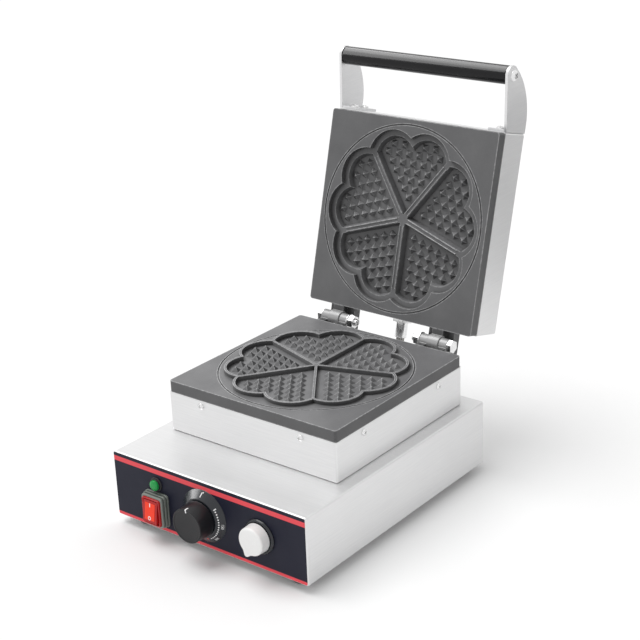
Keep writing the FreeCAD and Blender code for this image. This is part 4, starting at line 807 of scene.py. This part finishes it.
POINTER_HALF = 0.75
POINTER_LIFT = 0.07
POINTER_START = (18.44, 15.0)
POINTER_END = (14.4, 18.52)
rim_path = [(r, d) for r, d in knob_profile if r > 16 and d > POINTER_START[1]]
pointer_path = [POINTER_START, *rim_path, POINTER_END]
work = bmesh.new()
rows = []
for n, (radius, distance) in enumerate(pointer_path):
    before = Vector(pointer_path[max(n - 1, 0)])
    after = Vector(pointer_path[min(n + 1, len(pointer_path) - 1)])
    ahead = (after - before).normalized()
    lifted = Vector((radius, distance)) + Vector((ahead.y, -ahead.x)) * POINTER_LIFT
    place = Vector(KNOB_BACK) + FRONT * lifted.y + Vector((0, 0, 1)) * lifted.x
    rows.append([work.verts.new((place + Vector((side * POINTER_HALF, 0, 0))) * MM) for side in (-1, 1)])
for first, second in zip(rows, rows[1:]):
    work.faces.new((first[0], first[1], second[1], second[0]))
pointer = shape("thermostat_pointer", work, white_ink, 80)
fit(pointer, "thermostat_knob", "white_plastic")
print("knob profile points:", len(knob_profile))

# %% [markdown]
# The dial under the knob is a shallow cone with its scale printed on it. Every mark is a flat patch, laid
# on the cone by its clock position and its radius in millimetres.

# %% Dial printing tools
DIAL = Vector((-3, -195.8, 45.5))
DIAL_OUTER = 29.0
DIAL_INNER = 20.5
DIAL_DEPTH = 6.5
PRINT_LIFT = 0.06
DOT_CORNERS = 14
FONT_SIZE_PER_HEIGHT = 1.38
slope = math.hypot(DIAL_OUTER - DIAL_INNER, DIAL_DEPTH)
RISE = DIAL_DEPTH / slope
RUN = (DIAL_OUTER - DIAL_INNER) / slope


def dial_axes(clock, radius):
    """A point on the cone and the directions round it and outwards along it."""
    angle = math.radians(30 * clock)
    out = Vector((math.sin(angle), 0, math.cos(angle)))
    depth = DIAL_DEPTH * (DIAL_OUTER - radius) / (DIAL_OUTER - DIAL_INNER)
    place = DIAL + out * radius + FRONT * depth + (out * RISE + FRONT * RUN) * PRINT_LIFT
    return place, Vector((math.cos(angle), 0, -math.sin(angle))), out * RUN - FRONT * RISE


def patch(work, points):
    work.faces.new([work.verts.new(point * MM) for point in points])


def dot(work, clock, radius, size):
    place, round_it, outward = dial_axes(clock, radius)
    turns = [math.tau * n / DOT_CORNERS for n in range(DOT_CORNERS)]
    patch(work, [place + round_it * size * math.cos(a) + outward * size * math.sin(a) for a in turns])


def bar(work, clock, radius, length, width, lean=0.0):
    place, round_it, outward = dial_axes(clock, radius)
    along = outward * math.cos(lean) + round_it * math.sin(lean)
    across = round_it * math.cos(lean) - outward * math.sin(lean)
    patch(work, [place + along * length / 2 * v + across * width / 2 * u
                 for u, v in ((-1, -1), (1, -1), (1, 1), (-1, 1))])


def lettering(work, text, clock, radius, height):
    """Flat letters from the built-in font, laid on the cone with their feet towards the knob."""
    curve = bpy.data.curves.new("letters", "FONT")
    curve.body = text
    curve.size = height * FONT_SIZE_PER_HEIGHT
    curve.align_x = "CENTER"
    curve.align_y = "CENTER"
    item = add("letters", curve)
    bpy.context.view_layer.update()
    mesh = bpy.data.meshes.new_from_object(item)
    place, round_it, outward = dial_axes(clock, radius)
    made = [work.verts.new((place + round_it * v.co.x + outward * v.co.y) * MM) for v in mesh.vertices]
    for face in mesh.polygons:
        work.faces.new([made[n] for n in face.vertices])
    bpy.data.objects.remove(item)
    bpy.data.curves.remove(curve)
    bpy.data.meshes.remove(mesh)


print("dial slope:", round(slope, 2), "mm")

# %% [markdown]
# The scale has a long mark with a dot at the top, where the heat is off, a start mark, a row of dots that
# runs clockwise towards more heat, two numbers and a red end mark.

# %% Dial scale
DOTS = 14
DOTS_FROM = 1.95
DOTS_SPAN = 3.0
NUMBERS = (("150", 3.25), ("300", 4.65))

work = bmesh.new()
bar(work, clock=0.05, radius=24.6, length=5.2, width=1.2, lean=0.12)
dot(work, clock=0.16, radius=26.8, size=0.75)
bar(work, clock=1.75, radius=23.4, length=3.0, width=1.1)
for n in range(DOTS):
    dot(work, clock=DOTS_FROM + DOTS_SPAN * n / (DOTS - 1), radius=22.9, size=0.78)
for number, clock in NUMBERS:
    lettering(work, number, clock, radius=25.8, height=2.9)
dial_marks = shape("dial_marks", work, white_ink)
fit(dial_marks, "base", "white_plastic")
work = bmesh.new()
bar(work, clock=5.35, radius=22.4, length=2.6, width=1.8)
dial_end = shape("dial_end_mark", work, red_ink)
fit(dial_end, "base", "red_plastic")
print("dial marks:", len(dial_marks.data.polygons))

# %% [markdown]
# The timer turns in a glossy black collar with a round shoulder. The green lamp is a domed lens in a dark
# ring. All three are turned from a profile.

# %% Timer collar and lamp lens
COLLAR_BACK = (68, -195.8, 45.5)
LAMP_BACK = (-66, -197.4, 61.5)
collar_profile = rounded([
    (3.6, 0, 0), (18.3, 0, 0), (18.5, 1.1, 0.3), (17.5, 2.7, 1.0), (16.3, 3.0, 0.3), (15.9, 2.5, 0.2),
    (3.6, 2.4, 0),
])
collar = turn("timer_collar", collar_profile, COLLAR_BACK, FRONT, dial_plastic, 96)
fit(collar, "base", "black_plastic", "timer_bezel")
lens_profile = rounded([
    (0, 0, 0), (5.6, 0, 0), (5.5, 3.3, 1.4), (3.2, 4.55, 2.2), (0, 4.6, 0),
])
lens = turn("lamp_lens", lens_profile, LAMP_BACK, FRONT, green_glass)
fit(lens, "base", "green_lens", "pilot_lens")
ring_profile = rounded([
    (5.4, 0, 0), (6.3, 0, 0), (6.4, 0.7, 0.2), (6.1, 1.3, 0.25), (5.4, 1.2, 0),
])
lamp_ring = turn("lamp_ring", ring_profile, LAMP_BACK, FRONT, knob_plastic)
fit(lamp_ring, "base", "grey_plastic")
print("collar and lens:", len(collar.data.polygons), len(lens.data.polygons))

# %% [markdown]
# The timer's white knob is round with a small nose that points at the time left. Its outline is a circle
# with one smooth bump, drawn in polar form, and the outline is stacked forwards: a little draft on the
# side, as a moulding needs to leave its tool, then a quarter-round into a flat face. The loft helper
# skins such stacks of outlines.

# %% Timer knob
TIMER_BACK = Vector((68, -199.3, 45.5))
TIMER_RADIUS = 15.2
NOSE_RISE = 4.5
NOSE_AIM = math.radians(201)
NOSE_SPREAD = math.radians(13)
TIMER_DEPTH = 11.5
TIMER_FILLET = 2.4
FILLET_STEPS = 7
TIMER_DRAFT = 0.5
OUTLINE_CORNERS = 144


def loft(work, rows, close="caps"):
    """Skins a stack of outlines in millimetres; its ends get caps, join as a ring or stay open."""
    made = [[work.verts.new(Vector(point) * MM) for point in row] for row in rows]
    pairs = list(zip(made, made[1:]))
    if close == "ring":
        pairs.append((made[-1], made[0]))
    for first, second in pairs:
        for n in range(len(first)):
            after = (n + 1) % len(first)
            work.faces.new((first[n], first[after], second[after], second[n]))
    if close == "caps":
        work.faces.new(made[0])
        work.faces.new(made[-1])


def timer_outline(inset, distance):
    points = []
    for n in range(OUTLINE_CORNERS):
        angle = math.tau * n / OUTLINE_CORNERS
        off = (angle - NOSE_AIM) / NOSE_SPREAD
        radius = TIMER_RADIUS + NOSE_RISE * math.exp(-off * off) - inset
        points.append(TIMER_BACK + FRONT * distance
                      + Vector((math.sin(angle), 0, math.cos(angle))) * radius)
    return points


rows = [timer_outline(0, 0), timer_outline(TIMER_DRAFT, TIMER_DEPTH - TIMER_FILLET)]
for step in range(1, FILLET_STEPS + 1):
    angle = math.radians(90 * step / FILLET_STEPS)
    rows.append(timer_outline(TIMER_DRAFT + TIMER_FILLET * (1 - math.cos(angle)),
                              TIMER_DEPTH - TIMER_FILLET * (1 - math.sin(angle))))
work = bmesh.new()
loft(work, rows)
timer_knob = shape("timer_nose_knob", work, white_plastic, 50)
fit(timer_knob, "timer_knob", "white_plastic", "timer_knob")
print("timer knob:", len(timer_knob.data.polygons))

# %% [markdown]
# The rocker switch sits in a stepped grey boot that keeps splashes out. The boot is moulded in rounded
# steps with a groove under each, and the red frame on it has round corners too. Both are lofts of rounded
# rectangles that close on themselves like a picture frame, so the rocker can still tip in the window.

# %% Switch boot and frame
SWITCH = Vector((-66, -195.8, 35))
CORNER_STEPS = 6


def round_box(half_x, half_z, radius, distance, middle=SWITCH):
    """A rounded rectangle round the switch or another middle, this far in front of it."""
    points = []
    for quarter, (x, z) in enumerate(((1, 1), (-1, 1), (-1, -1), (1, -1))):
        for step in range(CORNER_STEPS + 1):
            angle = math.radians(90 * (quarter + step / CORNER_STEPS))
            points.append(middle + FRONT * distance + Vector((
                x * (half_x - radius) + radius * math.cos(angle), 0,
                z * (half_z - radius) + radius * math.sin(angle))))
    return points


BOOT_STEPS = [
    (12.15, 14.95, 2.6, 0.0), (15.0, 17.75, 3.4, 0.0), (15.25, 18.0, 3.6, 0.5), (15.25, 18.0, 3.6, 1.9),
    (14.95, 17.7, 3.5, 2.35), (14.1, 16.9, 3.2, 2.5), (14.1, 16.9, 3.2, 3.2), (14.6, 17.4, 3.5, 3.4),
    (14.85, 17.6, 3.6, 3.8), (14.8, 17.55, 3.6, 5.5), (14.5, 17.25, 3.4, 5.9), (13.5, 16.3, 3.1, 6.0),
    (13.5, 16.3, 3.1, 6.7), (13.9, 16.75, 3.4, 6.9), (14.1, 16.95, 3.5, 7.3), (13.95, 16.8, 3.5, 8.9),
    (13.6, 16.4, 3.3, 9.3), (13.2, 16.0, 3.1, 9.4), (12.15, 14.95, 2.6, 9.4),
]
work = bmesh.new()
loft(work, [round_box(*step) for step in BOOT_STEPS], close="ring")
boot = shape("switch_skirt", work, silicone, 42)
fit(boot, "base", "grey_plastic", "switch_boot")
frame_low, frame_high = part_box("switch_frame")
FRAME_BACK = SWITCH.y - frame_high[1] / MM
FRAME_FRONT = SWITCH.y - frame_low[1] / MM
FRAME_STEPS = [
    (9.8, 13.3, 1.6, FRAME_BACK), (12.0, 14.8, 2.6, FRAME_BACK), (12.0, 14.8, 2.6, FRAME_FRONT - 0.9),
    (11.85, 14.65, 2.6, FRAME_FRONT - 0.35), (11.45, 14.25, 2.4, FRAME_FRONT), (10.7, 13.9, 2.1, FRAME_FRONT),
    (10.1, 13.55, 1.8, FRAME_FRONT - 0.25), (9.8, 13.3, 1.6, FRAME_FRONT - 0.9),
]
work = bmesh.new()
loft(work, [round_box(*step) for step in FRAME_STEPS], close="ring")
switch_frame = shape("switch_surround", work, red_plastic, 42)
fit(switch_frame, "base", "red_plastic", "switch_frame")
print("boot and frame:", len(boot.data.polygons), len(switch_frame.data.polygons))

# %% [markdown]
# The printed film reaches the folds of the front wall. Its solid stops a little short of them, so a flat
# ring of the same print carries it on, a hair in front of the film.

# %% Film border
FILM_MIDDLE = Vector((0, -195.4, 46.2))
FILM_LIFT = 0.43
FILM_OUTER = (124.7, 35.6, 1.2)
FILM_INNER = (123.2, 34.3, 0.6)

work = bmesh.new()
film_edges = [round_box(*edge, FILM_LIFT, FILM_MIDDLE) for edge in (FILM_OUTER, FILM_INNER)]
loft(work, film_edges, close="open")
film_border = shape("film_border", work, film_print)
fit(film_border, "base", "panel")
print("film border:", len(film_border.data.polygons))

# %% [markdown]
# The rocker carries the two standard signs for on and off: a bar above, a ring below. They are moulded a
# hair proud of the window, which leans by eight degrees about its pin, so they are drawn flat and then
# leaned the same way.

# %% Rocker signs
ROCKER_PIN = Vector((-66, -201.8, 35))
ROCKER_LEAN = Matrix.Rotation(math.radians(-8), 3, "X")
SIGN_FRONT = -7.36
BAR_HALF = 0.55
BAR_LOW = 5.0
BAR_HIGH = 9.0
RING_LEVEL = -7.0
RING_INNER = 1.15
RING_OUTER = 1.95
RING_STRETCH = 1.1
RING_CORNERS = 28


def on_rocker(x, z):
    return ROCKER_PIN + ROCKER_LEAN @ Vector((x, SIGN_FRONT, z))


def on_ring(radius, angle):
    return on_rocker(radius * math.cos(angle), RING_LEVEL + RING_STRETCH * radius * math.sin(angle))


work = bmesh.new()
patch(work, [on_rocker(-BAR_HALF, BAR_LOW), on_rocker(BAR_HALF, BAR_LOW),
             on_rocker(BAR_HALF, BAR_HIGH), on_rocker(-BAR_HALF, BAR_HIGH)])
for n in range(RING_CORNERS):
    first, second = (math.tau * (n + k) / RING_CORNERS for k in (0, 1))
    patch(work, [on_ring(RING_INNER, first), on_ring(RING_OUTER, first),
                 on_ring(RING_OUTER, second), on_ring(RING_INNER, second)])
signs = shape("rocker_signs", work, white_ink)
fit(signs, "rocker", "white_plastic")
print("rocker signs:", len(signs.data.polygons))

# %% [markdown]
# Pan-head screws hold the housings, the brackets and the grip. One head is turned, its cross is cut by
# two boolean boxes, and the finished mesh is copied to every place, each turned a little differently, as
# screws are when they have been driven home.

# %% Screw tools
SLOT_WIDTH = 0.24
SLOT_LENGTH = 1.15
SLOT_DEPTH = 0.9


def screw_mesh(head, height, shank, length):
    """One screw along +Z with its seat at the origin, cross cut in its head."""
    profile = rounded([
        (0, -length, 0), (shank * 0.7, -length, 0), (shank, -length + 0.6, 0), (shank, -0.01, 0),
        (head, 0, 0), (head, height * 0.45, head * 0.12), (head * 0.62, height, head * 0.3), (0, height, 0),
    ])
    item = turn("screw_blank", profile, (0, 0, 0), (0, 0, 1), bright_zinc, 40)
    boxes = []
    for across, along in ((SLOT_WIDTH, SLOT_LENGTH), (SLOT_LENGTH, SLOT_WIDTH)):
        work = bmesh.new()
        bmesh.ops.create_cube(work, size=1)
        size = Vector((across * head, along * head, height * SLOT_DEPTH)) * MM
        bmesh.ops.scale(work, vec=size, verts=work.verts)
        bmesh.ops.translate(work, vec=(0, 0, height * MM), verts=work.verts)
        slot_box = shape("cross_box", work, bright_zinc)
        boxes.append(slot_box)
        slit = item.modifiers.new("cross", "BOOLEAN")
        slit.object = slot_box
        slit.operation = "DIFFERENCE"
    bpy.context.view_layer.update()
    cut = bpy.data.meshes.new_from_object(item.evaluated_get(bpy.context.evaluated_depsgraph_get()))
    for old in (item, *boxes):
        bpy.data.objects.remove(old)
    return cut


def screws(name, places, body, node, **sizes):
    """One piece with a screw at each place, pointing outwards from it."""
    one = screw_mesh(**sizes)
    work = bmesh.new()
    for n, (place, outward) in enumerate(places):
        copy = one.copy()
        spin = Matrix.Rotation(math.radians(37 * n + 12), 4, "Z")
        upright = Vector(outward).to_track_quat("Z", "Y").to_matrix().to_4x4()
        copy.transform(Matrix.Translation(Vector(place) * MM) @ upright @ spin)
        work.from_mesh(copy)
        bpy.data.meshes.remove(copy)
    bpy.data.meshes.remove(one)
    fit(shape(name, work, bright_zinc, 32), body, "fastener", node)


print("screw tools ready")

# %% [markdown]
# The lid is easiest to lay out shut, measured from the hinge axis. A small function then moves each point
# to where the open lid holds it. The wall screws sit in pairs on all four sides of the lower housing.

# %% Screw places
LID_TURN = math.radians(105)
LID_UP = Vector((0, math.sin(LID_TURN), math.cos(LID_TURN)))
LID_FRONT = -Vector((0, math.cos(LID_TURN), -math.sin(LID_TURN)))
HOUSING_HALF = 109
PLATE_CENTRE = -15.9
SCREW_LEVEL = 120
LUG_SPACING = 65
POST_REACH = 86.5
LID_MIDDLE = -123.5
LID_BACK = 52.0
BRACKET_FOOT = -235.5


def on_lid(y, z):
    """A point of the closed lid's hinge frame, moved to where the open lid holds it."""
    return (HINGE.y / MM + y * math.cos(LID_TURN) + z * math.sin(LID_TURN),
            HINGE.z / MM - y * math.sin(LID_TURN) + z * math.cos(LID_TURN))


wall_places = []
for side in (-1, 1):
    for shift in (-LUG_SPACING, LUG_SPACING):
        wall_places.append(((shift, PLATE_CENTRE + side * HOUSING_HALF, SCREW_LEVEL), (0, side, 0)))
        wall_places.append(((side * HOUSING_HALF, PLATE_CENTRE + shift, SCREW_LEVEL), (side, 0, 0)))
screws("housing_wall_screws", wall_places, "base", "lower_housing_screws",
       head=3.6, height=2.3, shank=2.0, length=8)
lid_places = [((x, *on_lid(LID_MIDDLE + y, LID_BACK)), LID_UP)
              for x in (-POST_REACH, POST_REACH) for y in (-POST_REACH, POST_REACH)]
screws("lid_back_screws", lid_places, "lid", "upper_housing_screws",
       head=3.6, height=2.3, shank=2.0, length=8)
foot_places = [((x, *on_lid(BRACKET_FOOT, z)), LID_FRONT) for x in (-96, 96) for z in (22, 42)]
screws("bracket_foot_screws", foot_places, "lid", "handle_bracket_screws",
       head=4.6, height=2.8, shank=2.5, length=9)
GRIP_AXIS = on_lid(-291.5, 9.5)
end_places = [((side * HOUSING_HALF, *GRIP_AXIS), (side, 0, 0)) for side in (-1, 1)]
screws("grip_end_screws", end_places, "lid", "handle_end_caps", head=6.0, height=4.5, shank=2.9, length=2.2)
print("screws:", len(wall_places) + len(lid_places) + len(foot_places) + len(end_places))

# %% [markdown]
# Each divider of the upper plate carries two fine beads, which press a seam into the waffle so that the
# hearts break apart cleanly. A bead is a thin rod sunk half into the divider's flat top. One divider
# points at the hinge and the others follow every fifth of a turn. They are laid out in the closed lid's
# frame and moved to the open lid.

# %% Divider beads
BEAD_RADIUS = 0.8
BEAD_SHIFT = 2.1
BEAD_REACH = (7.0, 77.0)
LEDGE = 5.2
HEARTS = 5


def on_plate(radius, shift, angle):
    """A point on the upper dividers' flat tops, by its distance along and across a divider."""
    x = radius * math.cos(angle) - shift * math.sin(angle)
    y = LID_MIDDLE + radius * math.sin(angle) + shift * math.cos(angle)
    return Vector((x, *on_lid(y, LEDGE)))


work = bmesh.new()
for number in range(HEARTS):
    angle = math.radians(90 + 360 / HEARTS * number)
    for shift in (-BEAD_SHIFT, BEAD_SHIFT):
        start = on_plate(BEAD_REACH[0], shift, angle)
        end = on_plate(BEAD_REACH[1], shift, angle)
        length = (end - start).length
        bead_profile = [(0, 0), (BEAD_RADIUS, 0), (BEAD_RADIUS, length), (0, length)]
        turned(work, bead_profile, start, end - start, 12)
beads = shape("divider_beads", work, plate_coat, 40)
fit(beads, "lid", "plate")
plates_only.objects.link(beads)
print("beads:", 2 * HEARTS)

# %% [markdown]
# The grip is a glossy black tube with rounded ends, held between the brackets by a rod. The hinge bolts
# get their cut threads where they stand out of the nuts: a saw-tooth profile turned round the shank, with
# a chamfered tip.

# %% Grip and bolt threads
GRIP_HALF = 105.9
GRIP_RADIUS = 10.0
GRIP_BORE = 3.2
GRIP_FILLET = 1.6
THREADS = 8
THREAD_PITCH = 1.25
THREAD_START = 0.6
THREAD_CREST = 4.12
THREAD_ROOT = 3.62
BOLT_TIP = 38.0

grip_profile = rounded([
    (GRIP_BORE, 0, 0), (GRIP_RADIUS, 0, GRIP_FILLET), (GRIP_RADIUS, 2 * GRIP_HALF, GRIP_FILLET),
    (GRIP_BORE, 2 * GRIP_HALF, 0),
], 7)
grip = turn("handle_tube", grip_profile, (-GRIP_HALF, *GRIP_AXIS), (1, 0, 0), grip_gloss, 96)
fit(grip, "lid", "black_plastic", "handle_grip")
gloss_only.objects.link(grip)

thread_profile = [(0, 0), (3.3, 0), (3.9, 0.5)]
for n in range(THREADS):
    thread_profile.append((THREAD_CREST, THREAD_START + THREAD_PITCH * (n + 0.35)))
    thread_profile.append((THREAD_ROOT, THREAD_START + THREAD_PITCH * (n + 0.95)))
work = bmesh.new()
for side in (-1, 1):
    turned(work, thread_profile, (side * BOLT_TIP, HINGE.y / MM, HINGE.z / MM), (side, 0, 0), 40)
threads = shape("hinge_threads", work, bright_zinc, 25)
fit(threads, "base", "fastener")
print("grip and threads:", len(grip.data.polygons), len(threads.data.polygons))

# %% [markdown]
# A woven sleeve carries the lid's leads from the base's rear wall to the lid. Its route is a smooth curve
# through a few control points, as a hose lies. A tube is wrapped round points read from that curve, with
# coordinates for the weave.

# %% Lead sleeve
SLEEVE_RADIUS = 0.0046
SLEEVE_SIDES = 24
ROUTE_STEPS = 24
route = [(-78, 124.6, 54), (-78, 152.6, 54), (-60.1, 178.6, 44), (-25.7, 184.6, 42), (0, 158.6, 54),
         (0, 128.74, 92.98), (0, 137.02, 123.89)]
curve = bpy.data.curves.new("sleeve_route", "CURVE")
curve.dimensions = "3D"
curve.resolution_u = ROUTE_STEPS
spline = curve.splines.new("NURBS")
spline.points.add(len(route) - 1)
for point, place in zip(spline.points, route):
    point.co = (*(Vector(place) * MM), 1)
spline.order_u = 3
spline.use_endpoint_u = True
route_item = add("sleeve_route", curve)
bpy.context.view_layer.update()
route_mesh = bpy.data.meshes.new_from_object(route_item)
line = [v.co.copy() for v in route_mesh.vertices]
bpy.data.objects.remove(route_item)

work = bmesh.new()
layer = work.loops.layers.uv.new("UVMap")
rings = []
travelled = 0.0
up = Vector((0, 0, 1))
for n, place in enumerate(line):
    ahead = (line[min(n + 1, len(line) - 1)] - line[max(n - 1, 0)]).normalized()
    up = (up - ahead * up.dot(ahead)).normalized()
    side = ahead.cross(up)
    if n:
        travelled += (place - line[n - 1]).length
    ring = [work.verts.new(place + (up * math.cos(a) + side * math.sin(a)) * SLEEVE_RADIUS)
            for a in (math.tau * k / SLEEVE_SIDES for k in range(SLEEVE_SIDES))]
    rings.append((ring, travelled))
for (first, start), (second, end) in zip(rings, rings[1:]):
    for k in range(SLEEVE_SIDES):
        after = (k + 1) % SLEEVE_SIDES
        face = work.faces.new((first[k], first[after], second[after], second[k]))
        marks = ((start, k), (start, k + 1), (end, k + 1), (end, k))
        for loop, (distance, turn_share) in zip(face.loops, marks):
            loop[layer].uv = (distance, turn_share / SLEEVE_SIDES)
for ring, _ in (rings[0], rings[-1]):
    work.faces.new(ring)
sleeve = shape("woven_sleeve", work, sleeve_weave, 60)
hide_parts("lead_sleeve")
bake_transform(sleeve)
